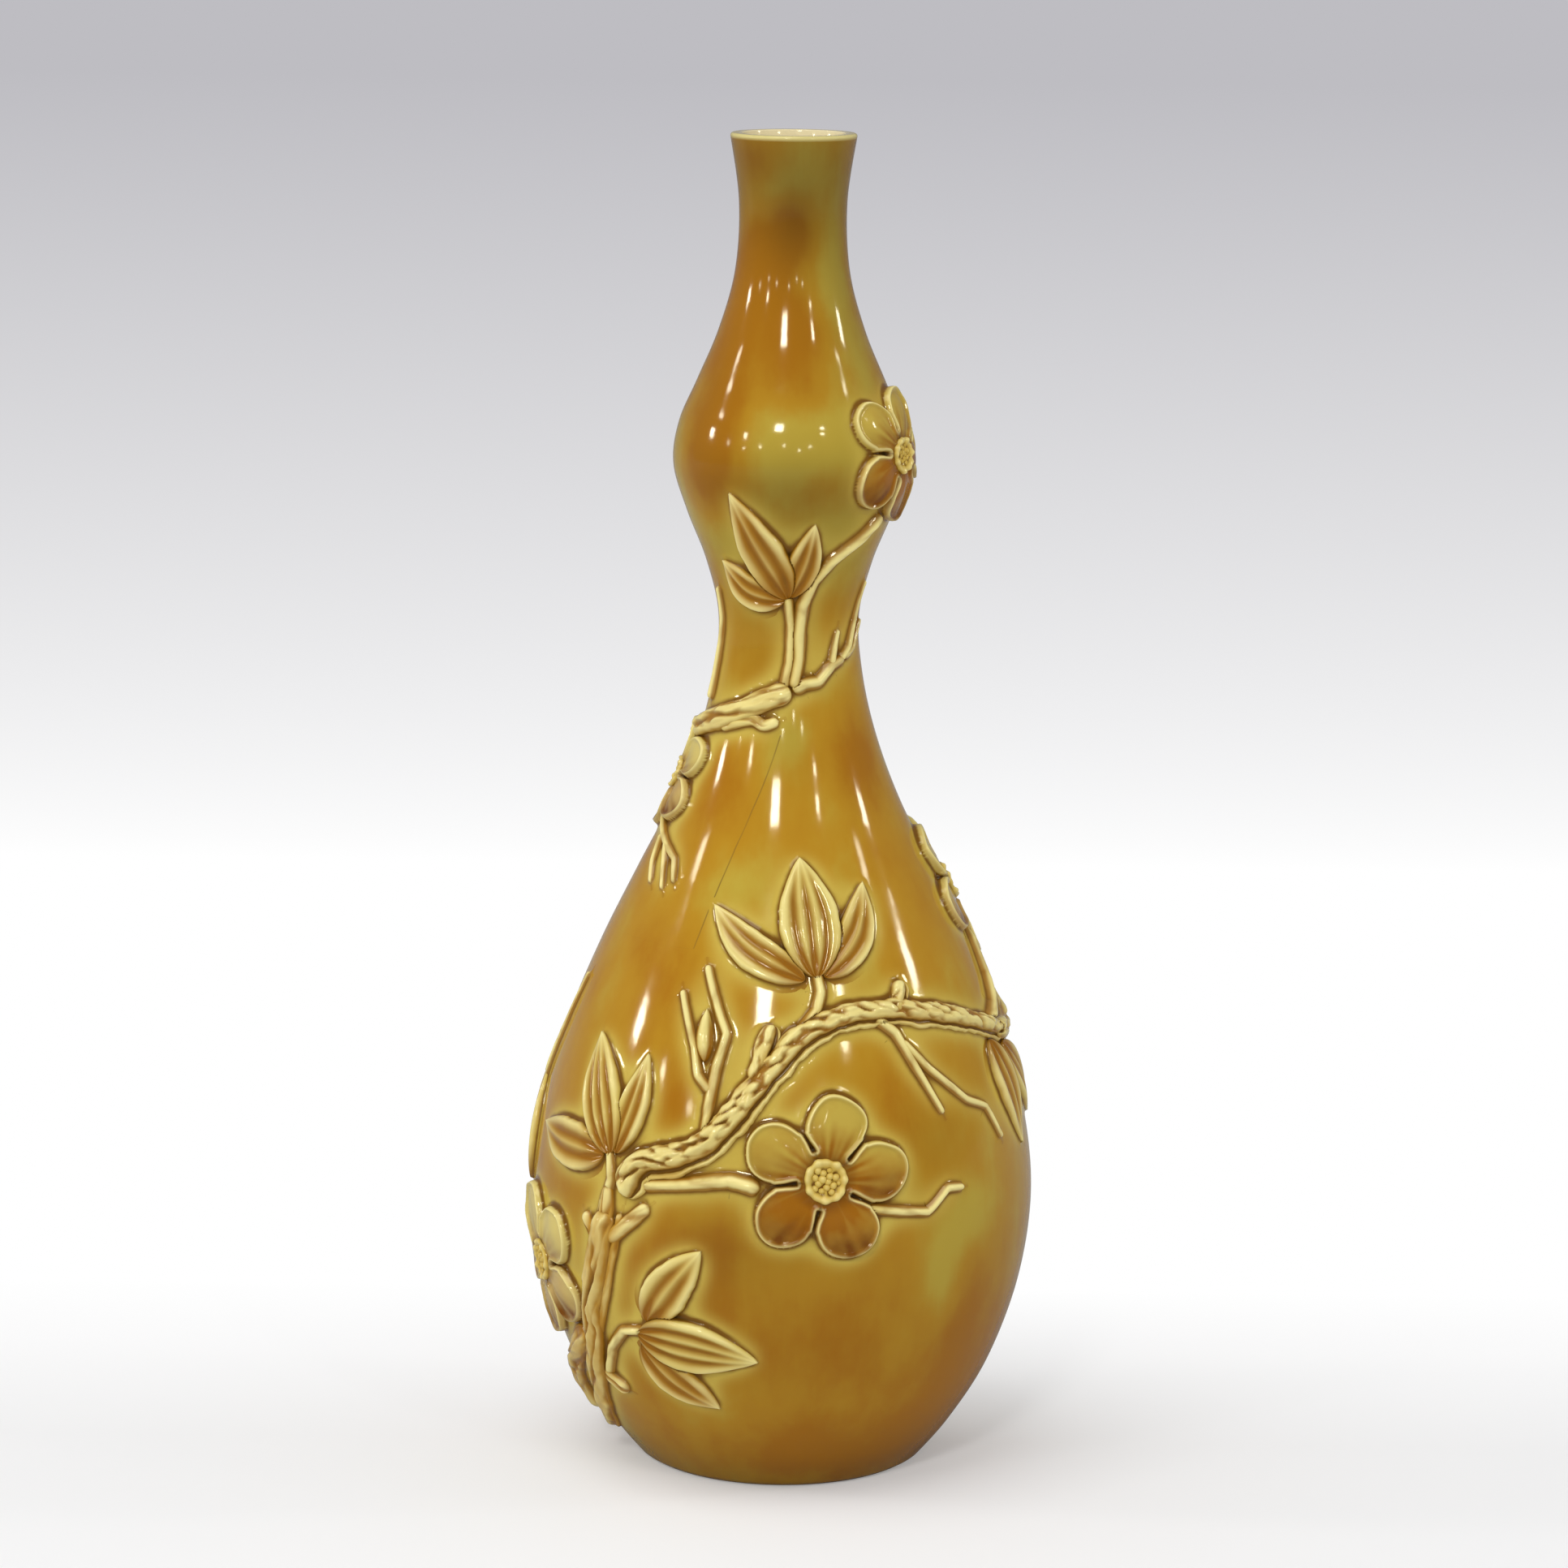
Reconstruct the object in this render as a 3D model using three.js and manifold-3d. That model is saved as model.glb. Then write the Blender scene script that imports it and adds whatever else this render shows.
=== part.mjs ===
// Double-gourd earthenware vase with a prunus branch applied in relief.
// Lengths are in millimetres and angles in degrees. +Z is up, and the vase stands on Z = 0.
// Azimuth 0 faces -Y, where the front blossom is, and grows towards +X.
// The vessel is two sections luted at the waist. Every leaf, blossom and twig is a sprig of its own,
// bedded on the wall in a thin layer of slip and trimmed where a later sprig lies over it.

import * as THREE from "three";
import { mergeVertices } from "three/addons/utils/BufferGeometryUtils.js";
import Module from "manifold-3d";

// Outer wall as [height, radius], from the edge of the base to the lip.
const OUTER_WALL = [
  [0, 34.5], [10, 42.5], [25, 51.25], [45, 58], [66, 60.5], [87, 58], [107, 52.25], [126, 44.5], [144, 35.75],
  [161, 27.25], [177, 21.25], [192, 17.75], [206, 16.75], [219, 19.75], [231, 24.5], [242, 27.75], [252, 26.5],
  [262, 22.25], [274, 17.25], [288, 13.5], [304, 12.75], [320, 15],
];
// Wall thickness as [height, thickness].
const WALL_THICKNESS = [[0, 6.5], [66, 5], [200, 4.4], [244, 4], [300, 3.2], [320, 2.8]];
const BASE_THICKNESS = 7;
const BASE_FILLET_HEIGHT = 14;
const BASE_FILLET_RUN = 8;

// Lap joint at the waist: the lower section's tongue stands inside the upper section's socket.
const SEAM_HEIGHT = 200;
const TONGUE_LENGTH = 5;
const SLIP_GAP = 0.3;

// Facets of the two sections.
const BELLY_TOP = 132;
const BELLY_ROWS = 13;
const CONE_ROWS = 13;
const LOWER_INNER_ROWS = 14;
const LOWER_SIDES = 48;
const UPPER_ROWS = 18;
const UPPER_INNER_ROWS = 11;
const UPPER_SIDES = 32;
const LIP_STEPS = 4;
const WALL_SAMPLES = 600;
const NORMAL_STEP = 0.5;
const PATH_SAMPLES = 20;
const WELD_DISTANCE = 1e-4;

// Sprigs: the slip bed under them, the room between neighbours, and the reach of a trimming tool.
const SLIP_BED = 0.4;
const SPRIG_GAP = 0.35;
const TRIM_FLOOR = -1.5;
const TRIM_ROOF = 9;

// A strip's cross-section as [share of half width, share of rise].
const LEAF_SECTION = [[-1, 0], [-0.84, 0.9], [-0.42, 0.5], [0, 1], [0.42, 0.5], [0.84, 0.9], [1, 0]];
const BRANCH_SECTION = [[-1, 0], [-0.62, 0.85], [0.62, 0.85], [1, 0]];
const TRIM_SECTION = [[-1, 1], [1, 1]];
const LEAF_ROWS = [0, 0.08, 0.25, 0.45, 0.65, 0.85, 1];
const LEAF_RISE = 2;
const LEAF_EDGE_RISE_SHARE = 0.35;
const LEAF_FULLNESS = 0.78;
const LEAF_TIP_WIDTH = 0.3;
const BRANCH_STEP = 5;
const BRANCH_RISE_SHARE = 0.75;
const BRANCH_END_SHARE = 0.45;
const BRANCH_SHOULDER_SHARE = 0.85;

// Blossoms: five round petals about a stamen disc.
const PETALS = 5;
const PETAL_STEPS = 7;
const COROLLA_RISE = 2.2;
const COROLLA_SEAT = 0.4;
// Rings from the middle of the top, over the rim and back under, as [share of the outline, share of rise].
const COROLLA_RINGS = [
  [0.05, COROLLA_SEAT], [0.36, COROLLA_SEAT], [0.66, 0.5], [0.88, 1],
  [1, 0], [0.62, 0], [0.3, 0], [0.05, 0],
];
const TRIM_RINGS = [[0.05, 1], [0.5, 1], [1, 1], [1, 0], [0.5, 0], [0.05, 0]];
const STAMEN_STEPS = 12;
const STAMEN_RISE = 1.6;
const STAMEN_RINGS = [[0.05, 1], [0.55, 0.95], [0.88, 0.65], [1, 0], [0.5, 0], [0.05, 0]];

const GLAZE_AMBER = 0xb5791a;
const GLAZE_OLIVE = 0xb39a3c;
const GLAZE_CREAM = 0xd9c27c;
const GLAZE_BARK = 0xa87a2c;

// Twigs and stems, laid first. A strand is a path of [azimuth, height] points with its width at both ends.
const TWIGS = {
  shoulder_stem: [{ path: [[-1, 213], [2, 206], [1, 197], [-3, 191]], width: [2.6, 3] }],
  waist_twig: [
    { path: [[3, 190.5], [12, 192], [23, 192.5], [35, 196], [48, 197.5]], width: [3.8, 3] },
    { path: [[35, 196], [43, 204.5]], width: [2.8, 1.8] },
    { path: [[44, 197], [55, 200], [63, 206], [71, 215.5]], width: [2.8, 1.6] },
    { path: [[48, 197.5], [60, 199.5], [76, 206]], width: [2.8, 1.8] },
  ],
  waist_side_twig: [{ path: [[-64, 214], [-65, 206], [-69, 197], [-72, 186]], width: [2, 3] }],
  hanging_twig: [
    { path: [[-84, 158], [-66, 153], [-53, 150], [-48, 145]], width: [3, 2] },
    { path: [[-72, 154], [-68, 148], [-62, 143.5]], width: [2.6, 1.8] },
    { path: [[-64, 153], [-58, 148], [-53, 143]], width: [2.6, 1.8] },
  ],
  centre_stem: [{ path: [[9.5, 129], [10.5, 124], [9, 120], [4, 115]], width: [2.8, 3.6] }],
  right_riser: [{ path: [[71, 110], [79, 113], [86, 119], [91, 126], [96, 134]], width: [4.8, 3.4] }],
  right_twig: [
    { path: [[26, 117.5], [31, 114], [34.5, 107.5], [41.5, 94.5]], width: [3.4, 2] },
    { path: [[32.5, 112], [39.5, 105], [50, 96.5], [57, 93.5], [62, 85]], width: [2.8, 2] },
  ],
  forked_twig: [
    {
      path: [[-18.7, 88], [-18.3, 97], [-17.3, 107], [-15.6, 114.5], [-19, 120], [-24.5, 129]],
      width: [3.4, 2.4],
    },
    { path: [[-18, 101.5], [-22, 105], [-24, 111], [-31, 123]], width: [2.8, 2.2] },
  ],
  left_stem: [{ path: [[-43.5, 85], [-42, 78.5], [-43.5, 73], [-44.5, 67]], width: [2.8, 4] }],
  blossom_twig_left: [{ path: [[-33, 78.5], [-24, 80], [-12, 83], [-5, 80.5]], width: [3.4, 3.4] }],
  blossom_twig_right: [{ path: [[19, 75.5], [34, 73], [40, 77.5], [45, 77]], width: [3, 2.4] }],
  low_stem: [{ path: [[-33, 43], [-40, 41.5], [-45.5, 36], [-50, 28]], width: [3, 3.4] }],
  left_edge_twig: [{ path: [[-79, 120], [-83, 106], [-90, 92]], width: [1.8, 2.6] }],
  back_stem: [{ path: [[217, 99], [207, 90], [194, 85], [178, 86]], width: [3, 3.4] }],
  back_shoulder_stem: [{ path: [[184, 213], [187, 202], [194, 182], [206, 162]], width: [2.6, 3.4] }],
  back_twig: [
    { path: [[158, 141], [152, 150], [149, 160], [140, 172]], width: [3.2, 2] },
    { path: [[150, 155], [158, 162], [161, 170]], width: [2.6, 1.8] },
  ],
};

// Trunk, boughs and branches, laid over the ends of the twigs.
const BOUGHS = {
  trunk: [
    { path: [[-70, 9], [-60, 19], [-52, 32], [-47, 47], [-43, 60], [-41, 71]], width: [9, 10] },
    { path: [[-42, 64], [-31, 74]], width: [4.5, 3.4] },
    { path: [[-44, 62], [-50, 69]], width: [4.5, 3.4] },
    { path: [[-52, 28], [-44, 24.5]], width: [4.5, 3.8] },
    { path: [[-54, 38], [-66, 29], [-77, 20], [-84, 11]], width: [8, 9] },
  ],
  back_bough: [
    {
      path: [[74, 108], [90, 107], [112, 114], [150, 136], [206, 163], [240, 174], [272, 179]],
      width: [5.5, 5],
    },
  ],
  main_bough: [
    {
      path: [[-37, 75], [-34, 83], [-25, 85.5], [-16, 91], [-6, 103], [4, 113.5], [16, 118], [31, 118.5],
        [53, 114.5], [78, 107]],
      width: [8.5, 5.5],
    },
    { path: [[-7, 104], [-3, 117]], width: [5.5, 5] },
    { path: [[33, 118], [37, 125]], width: [5.5, 4.5] },
  ],
  shoulder_branch: [
    {
      path: [[58, 232], [44, 226.5], [29, 222], [17.5, 217], [11.5, 210], [11, 200], [6, 192]],
      width: [4, 3.2],
    },
  ],
  waist_branch: [
    { path: [[2, 191], [-11, 189], [-38, 185], [-60, 182], [-86, 178.5]], width: [5.4, 6.4] },
    { path: [[-50, 181], [-26, 183.5], [-16, 182.3], [-6, 183.5]], width: [3.4, 2.6] },
  ],
};

// Leaves from base to tip. Belly is how far the middle bows to the left of the way from base to tip.
const LEAVES = {
  shoulder_leaf_left: { base: [-3, 212], tip: [-48, 221], width: 9, belly: 2.5 },
  shoulder_leaf_right: { base: [1, 213], tip: [14, 231], width: 8, belly: -0.8 },
  shoulder_leaf_long: { base: [-1, 212.5], tip: [-31, 238], width: 10.5, belly: 0.8 },
  centre_leaf_left: { base: [6, 127.5], tip: [-26.5, 142.5], width: 11, belly: 1.5 },
  centre_leaf_right: { base: [12, 128], tip: [32, 148], width: 11, belly: -2.5 },
  centre_leaf_middle: { base: [9.5, 128], tip: [6.2, 154], width: 16, belly: -0.5 },
  left_leaf_right: { base: [-41.5, 84.5], tip: [-36.5, 109], width: 11, belly: -2.5 },
  left_leaf_left: { base: [-45, 83.5], tip: [-74, 85], width: 12, belly: 0.8 },
  left_leaf_middle: { base: [-43, 84], tip: [-56, 110], width: 13, belly: 0 },
  low_leaf_under: { base: [-35, 39], tip: [-16, 24.5], width: 11, belly: -1 },
  low_leaf_upper: { base: [-32.5, 45.5], tip: [-18, 65], width: 11.5, belly: 0.5 },
  low_leaf_middle: { base: [-35.5, 42], tip: [-5.5, 38], width: 14, belly: 0.5 },
  right_leaf_hanging: { base: [67, 107], tip: [74, 81], width: 11, belly: 0.8 },
  right_leaf_trailing: { base: [76, 104.5], tip: [92, 84], width: 10, belly: 0.8 },
  edge_leaf_front: { base: [-88, 67], tip: [-91, 96], width: 11, belly: 0.8 },
  edge_leaf_back: { base: [-96, 67], tip: [-115, 86], width: 11, belly: 0.8 },
  back_leaf_left: { base: [214, 101], tip: [202, 127], width: 11, belly: 0.8 },
  back_leaf_right: { base: [219, 98.5], tip: [246, 98], width: 12, belly: -0.8 },
  back_leaf_middle: { base: [217, 100], tip: [230, 125], width: 14, belly: 0 },
  back_shoulder_leaf_left: { base: [182, 213], tip: [140, 222], width: 9, belly: 2 },
  back_shoulder_leaf_right: { base: [187, 213], tip: [204, 232], width: 9, belly: -0.8 },
  back_shoulder_leaf_long: { base: [184, 213], tip: [165, 240], width: 11, belly: 0.8 },
};
const TWIG_BUD = { base: [-20.6, 108], tip: [-22, 119.5], width: 4.6, belly: 0.4 };

// Blossoms: centre, the turn of the first petal from level, how far out the petals sit, and their radius.
const BLOSSOMS = {
  front: { centre: [9.6, 82.5], turn: 6, reach: 12.7, petal: 7.5, disc: 5.2 },
  shoulder: { centre: [65, 246], turn: -5, reach: 10.8, petal: 6.3, disc: 4.2 },
  waist: { centre: [-89, 167], turn: 36, reach: 9.4, petal: 5.6, disc: 4 },
  right: { centre: [102, 139], turn: 51, reach: 12.4, petal: 7.3, disc: 5 },
  low: { centre: [-71.5, 51.5], turn: 43, reach: 12.4, petal: 7.3, disc: 5 },
  back: { centre: [160, 90], turn: 20, reach: 12.7, petal: 7.5, disc: 5.2 },
};

const wasm = await Module();
wasm.setup();

const radians = THREE.MathUtils.degToRad;

// The value of a [place, value] table at a place, on straight lines between its rows.
function tableAt(table, place) {
  const after = table.findIndex(([at]) => at >= place);
  if (after <= 0) return table[0][1];
  const [from, low] = table[after - 1];
  const [to, high] = table[after];
  return THREE.MathUtils.mapLinear(place, from, to, low, high);
}

// The outer wall as a curve that can be read by height or by distance along it.
class Wall {
  constructor(stations) {
    const spots = stations.map(([height, radius]) => new THREE.Vector2(radius, height));
    this.samples = new THREE.SplineCurve(spots).getPoints(WALL_SAMPLES);
    this.heightToArc = [];
    this.arcToRadius = [];
    this.arcToHeight = [];
    let arc = 0;
    this.samples.forEach((sample, i) => {
      if (i > 0) arc += sample.distanceTo(this.samples[i - 1]);
      this.heightToArc.push([sample.y, arc]);
      this.arcToRadius.push([arc, sample.x]);
      this.arcToHeight.push([arc, sample.y]);
    });
  }

  arcAt(height) {
    return tableAt(this.heightToArc, height);
  }

  at(arc) {
    return new THREE.Vector2(tableAt(this.arcToRadius, arc), tableAt(this.arcToHeight, arc));
  }

  // The outward normal as [radial, vertical].
  normalAt(arc) {
    const along = this.at(arc + NORMAL_STEP).sub(this.at(arc - NORMAL_STEP)).normalize();
    return new THREE.Vector2(along.y, -along.x);
  }

  // A point at an angle and a distance along the wall, standing proud of it.
  point(angle, arc, proud) {
    const spot = this.at(arc).addScaledVector(this.normalAt(arc), proud);
    return new THREE.Vector3(spot.x * Math.sin(angle), -spot.x * Math.cos(angle), spot.y);
  }

  // The profile between two heights, in equal steps along the wall, set in by a share of its thickness.
  profile(fromHeight, toHeight, rows, depth = 0) {
    const from = this.arcAt(fromHeight);
    const to = this.arcAt(toHeight);
    return Array.from({ length: rows + 1 }, (_, i) => {
      const arc = THREE.MathUtils.lerp(from, to, i / rows);
      const spot = this.at(arc);
      return spot.addScaledVector(this.normalAt(arc), -depth * tableAt(WALL_THICKNESS, spot.y));
    });
  }
}

const wall = new Wall(OUTER_WALL);
const HEIGHT = OUTER_WALL.at(-1)[0];

// A body of revolution about Z from a profile of (radius, height) points.
function turned(profile, sides) {
  return new THREE.LatheGeometry(profile, sides).rotateX(Math.PI / 2);
}

function lowerGourd() {
  const middle = wall.profile(SEAM_HEIGHT, SEAM_HEIGHT, 1, 0.5)[0].x - SLIP_GAP / 2;
  const tongueTop = SEAM_HEIGHT + TONGUE_LENGTH;
  const inner = wall.profile(BASE_FILLET_HEIGHT, tongueTop, LOWER_INNER_ROWS, 1);
  inner.at(-1).y = tongueTop;
  return turned(
    [
      new THREE.Vector2(0, 0),
      ...wall.profile(0, BELLY_TOP, BELLY_ROWS),
      ...wall.profile(BELLY_TOP, SEAM_HEIGHT, CONE_ROWS).slice(1),
      new THREE.Vector2(middle, SEAM_HEIGHT),
      new THREE.Vector2(middle, tongueTop),
      ...inner.reverse(),
      new THREE.Vector2(inner.at(-1).x - BASE_FILLET_RUN, BASE_THICKNESS),
      new THREE.Vector2(0, BASE_THICKNESS),
    ],
    LOWER_SIDES,
  );
}

function upperGourd() {
  const bottom = SEAM_HEIGHT + SLIP_GAP;
  const socketTop = bottom + TONGUE_LENGTH;
  const middle = wall.profile(SEAM_HEIGHT, SEAM_HEIGHT, 1, 0.5)[0].x + SLIP_GAP / 2;
  const lipRadius = tableAt(WALL_THICKNESS, HEIGHT) / 2;
  const outer = wall.profile(bottom, HEIGHT - lipRadius, UPPER_ROWS);
  const inner = wall.profile(socketTop, HEIGHT - lipRadius, UPPER_INNER_ROWS, 1);
  inner[0].y = socketTop;
  const lipCentre = outer.at(-1).clone().lerp(inner.at(-1), 0.5);
  const lipTurn = outer.at(-1).clone().sub(lipCentre);
  const lip = Array.from({ length: LIP_STEPS - 1 }, (_, i) =>
    lipTurn.clone().rotateAround(new THREE.Vector2(), (Math.PI * (i + 1)) / LIP_STEPS).add(lipCentre),
  );
  const profile = [
    ...outer,
    ...lip,
    ...inner.reverse(),
    new THREE.Vector2(middle, socketTop),
    new THREE.Vector2(middle, bottom),
  ];
  return turned([...profile, profile[0]], UPPER_SIDES);
}

// A closed body through rings of equally many points, with both ends capped.
function lofted(rings) {
  const count = rings[0].length;
  const index = [];
  for (let row = 0; row + 1 < rings.length; row++) {
    for (let k = 0; k < count; k++) {
      const next = (k + 1) % count;
      const [a, b] = [row * count + k, row * count + next];
      index.push(a, a + count, b, b, a + count, b + count);
    }
  }
  const last = (rings.length - 1) * count;
  for (let k = 1; k + 1 < count; k++) {
    index.push(0, k, k + 1, last, last + k + 1, last + k);
  }
  const geometry = new THREE.BufferGeometry().setFromPoints(rings.flat());
  return geometry.setIndex(index);
}

// A strip of clay along a path on the wall. Rows are [share along, half width, rise].
// With a clearance, the strip is grown into the tool that trims what lies under it.
function strip(curve, rows, section, clearance) {
  const floor = clearance ? TRIM_FLOOR : SLIP_BED;
  const shape = clearance ? TRIM_SECTION : section;
  const rings = rows.map(([share, halfWidth, rise]) => {
    const centre = curve.getPoint(share);
    const tangent = curve.getTangent(share);
    const radius = wall.at(centre.y).x;
    const along = new THREE.Vector2(tangent.x * radius, tangent.y).normalize();
    const beyond = share === 0 ? -clearance : share === 1 ? clearance : 0;
    const at = (across, proud) => {
      const side = across * (halfWidth + clearance);
      const arc = centre.y + along.x * side + along.y * beyond;
      const angle = centre.x + (-along.y * side + along.x * beyond) / wall.at(arc).x;
      return wall.point(angle, arc, proud);
    };
    const roof = clearance ? TRIM_ROOF : rise;
    const top = shape.map(([across, height]) => at(across, floor + height * roof));
    const under = clearance ? [at(1, floor), at(0, floor), at(-1, floor)] : [at(0, floor)];
    return [...top, ...under];
  });
  return lofted(rings);
}

// A smooth path through [azimuth, height] points, in radians and distance along the wall.
function pathOn(points) {
  const places = points.map(([azimuth, height]) => new THREE.Vector2(radians(azimuth), wall.arcAt(height)));
  return new THREE.SplineCurve(places);
}

function pathLength(curve) {
  const points = curve.getPoints(PATH_SAMPLES);
  return points.slice(1).reduce((sum, point, i) => {
    const turn = (point.x - points[i].x) * wall.at(point.y).x;
    return sum + Math.hypot(turn, point.y - points[i].y);
  }, 0);
}

function strand({ path, width }, clearance) {
  const curve = pathOn(path);
  const length = pathLength(curve);
  const steps = Math.max(3, Math.round(length / BRANCH_STEP));
  const halfWidth = (share) => THREE.MathUtils.lerp(width[0], width[1], share) / 2;
  const row = (share, taper) => {
    const half = halfWidth(share) * taper;
    return [share, half, half * BRANCH_RISE_SHARE];
  };
  const rounding = (share) => (BRANCH_END_SHARE * halfWidth(share)) / length;
  const between = Array.from({ length: steps - 1 }, (_, i) => row((i + 1) / steps, 1));
  const rows = [
    row(0, BRANCH_END_SHARE),
    row(rounding(0), BRANCH_SHOULDER_SHARE),
    ...between,
    row(1 - rounding(1), BRANCH_SHOULDER_SHARE),
    row(1, BRANCH_END_SHARE),
  ];
  return solidOf(strip(curve, rows, BRANCH_SECTION, clearance));
}

function branch(strands, clearance = 0) {
  return strands.map((each) => strand(each, clearance)).reduce((whole, part) => whole.add(part));
}

function leaf({ base, tip, width, belly }, clearance = 0) {
  const ends = pathOn([base, tip]);
  const middle = ends.getPoint(0.5);
  const radius = wall.at(middle.y).x;
  const way = ends.getPoint(1).sub(ends.getPoint(0));
  const length = Math.hypot(way.x * radius, way.y);
  middle.x -= (belly * way.y) / length / radius;
  middle.y += (belly * way.x * radius) / length;
  const curve = new THREE.SplineCurve([ends.getPoint(0), middle, ends.getPoint(1)]);
  const rows = LEAF_ROWS.map((share) => {
    const swell = Math.sin(Math.PI * share ** LEAF_FULLNESS);
    const halfWidth = Math.max((width / 2) * swell ** LEAF_FULLNESS, LEAF_TIP_WIDTH);
    return [share, halfWidth, LEAF_RISE * THREE.MathUtils.lerp(LEAF_EDGE_RISE_SHARE, 1, swell)];
  });
  return solidOf(strip(curve, rows, LEAF_SECTION, clearance));
}

// A round sprig about a centre on the wall. Rings are [share of the outline, height above the floor].
function rosette(centre, outline, steps, rings) {
  const [azimuth, height] = centre;
  const centreArc = wall.arcAt(height);
  const loops = rings.map(([share, proud]) =>
    Array.from({ length: steps }, (_, k) => {
      const angle = (2 * Math.PI * k) / steps;
      const reach = share * outline(angle);
      const arc = centreArc + reach * Math.sin(angle);
      return wall.point(radians(azimuth) + (reach * Math.cos(angle)) / wall.at(arc).x, arc, proud);
    }),
  );
  return solidOf(lofted(loops));
}

// How far a five-petalled outline reaches in a direction.
function petalOutline({ turn, reach, petal }, clearance) {
  const sector = (2 * Math.PI) / PETALS;
  const reachOut = petal + clearance;
  return (angle) => {
    const around = angle - radians(turn) + sector / 2;
    const fromPetal = THREE.MathUtils.euclideanModulo(around, sector) - sector / 2;
    const aside = Math.min(reach * Math.sin(Math.abs(fromPetal)), reachOut);
    return reach * Math.cos(fromPetal) + Math.sqrt(reachOut ** 2 - aside ** 2);
  };
}

function corolla(blossom, clearance = 0) {
  const floor = clearance ? TRIM_FLOOR : SLIP_BED;
  const rise = clearance ? TRIM_ROOF : COROLLA_RISE;
  const shape = clearance ? TRIM_RINGS : COROLLA_RINGS;
  const rings = shape.map(([share, height]) => [share, floor + height * rise]);
  return rosette(blossom.centre, petalOutline(blossom, clearance), PETALS * PETAL_STEPS, rings);
}

// The stamen disc is seated on the flat middle of the corolla.
function stamens({ centre, disc }) {
  const seat = SLIP_BED + COROLLA_SEAT * COROLLA_RISE + SLIP_BED;
  const rings = STAMEN_RINGS.map(([share, height]) => [share, seat + height * STAMEN_RISE]);
  return rosette(centre, () => disc, STAMEN_STEPS, rings);
}

// A geometry as a solid for joining and trimming, and back.
function solidOf(geometry) {
  geometry.deleteAttribute("normal");
  geometry.deleteAttribute("uv");
  const merged = mergeVertices(geometry, WELD_DISTANCE);
  const vertProperties = new Float32Array(merged.attributes.position.array);
  const triVerts = new Uint32Array(merged.index.array);
  return new wasm.Manifold(new wasm.Mesh({ numProp: 3, vertProperties, triVerts }));
}

function geometryOf(solid) {
  const mesh = solid.getMesh();
  const geometry = new THREE.BufferGeometry();
  const positions = new Float32Array(mesh.vertProperties);
  geometry.setAttribute("position", new THREE.BufferAttribute(positions, 3));
  geometry.setIndex(new THREE.BufferAttribute(new Uint32Array(mesh.triVerts), 1));
  geometry.computeVertexNormals();
  return geometry;
}

// Every sprig in the order of laying, with the tool that trims what lies under it.
function laidSprigs() {
  const laid = [];
  const lay = (name, colour, make) => laid.push({ name, colour, solid: make(0), tool: make(SPRIG_GAP) });
  for (const [name, strands] of Object.entries({ ...TWIGS, ...BOUGHS })) {
    lay(name, GLAZE_BARK, (clearance) => branch(strands, clearance));
  }
  for (const [name, spec] of Object.entries({ twig_bud: TWIG_BUD, ...LEAVES })) {
    lay(name, GLAZE_OLIVE, (clearance) => leaf(spec, clearance));
  }
  for (const [name, spec] of Object.entries(BLOSSOMS)) {
    lay(`${name}_blossom`, GLAZE_AMBER, (clearance) => corolla(spec, clearance));
  }
  return laid;
}

function apart(a, b) {
  const [p, q] = [a.boundingBox(), b.boundingBox()];
  return [0, 1, 2].some((k) => p.min[k] > q.max[k] || q.min[k] > p.max[k]);
}

// What is left of a sprig once the sprigs laid over it are trimmed out: its largest piece.
function trimmed(sprig, later) {
  const left = later
    .filter(({ tool }) => !apart(sprig.solid, tool))
    .reduce((solid, { tool }) => solid.subtract(tool), sprig.solid);
  return left.decompose().reduce((best, piece) => (piece.volume() > best.volume() ? piece : best));
}

function glazed(name, geometry, color, roughness = 0.15) {
  const mesh = new THREE.Mesh(geometry, new THREE.MeshStandardMaterial({ color, roughness, metalness: 0 }));
  mesh.name = name;
  return mesh;
}

const vase = new THREE.Group();
vase.name = "vase";
vase.add(glazed("lower_gourd", lowerGourd(), GLAZE_AMBER));
vase.add(glazed("upper_gourd", upperGourd(), GLAZE_AMBER));

const sprigs = laidSprigs();
sprigs.forEach((sprig, i) => {
  vase.add(glazed(sprig.name, geometryOf(trimmed(sprig, sprigs.slice(i + 1))), sprig.colour));
});
for (const [name, spec] of Object.entries(BLOSSOMS)) {
  vase.add(glazed(`${name}_stamens`, geometryOf(stamens(spec)), GLAZE_CREAM));
}

export default vase;
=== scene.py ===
"""Double-gourd earthenware vase: a prunus branch in relief under an amber and olive glaze.

Sizes in the layouts are millimetres and degrees, meshes are in metres. Azimuth 0 faces -Y, where the front
blossom is, and grows towards +X. A sprig is first laid out on a chart of the wall, whose axes are azimuth,
The chart also tells where the glaze pools, with painted shade in the pools, and where it thins.
Then the sprig is wrapped round the vase.
"""

import logging
import math
from collections.abc import Iterable
from dataclasses import dataclass, field
from enum import Enum
from functools import cached_property
from typing import ClassVar

import bmesh
import bpy
import numpy as np
from mathutils import Euler, Matrix, Vector
from mathutils.bvhtree import BVHTree


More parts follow.
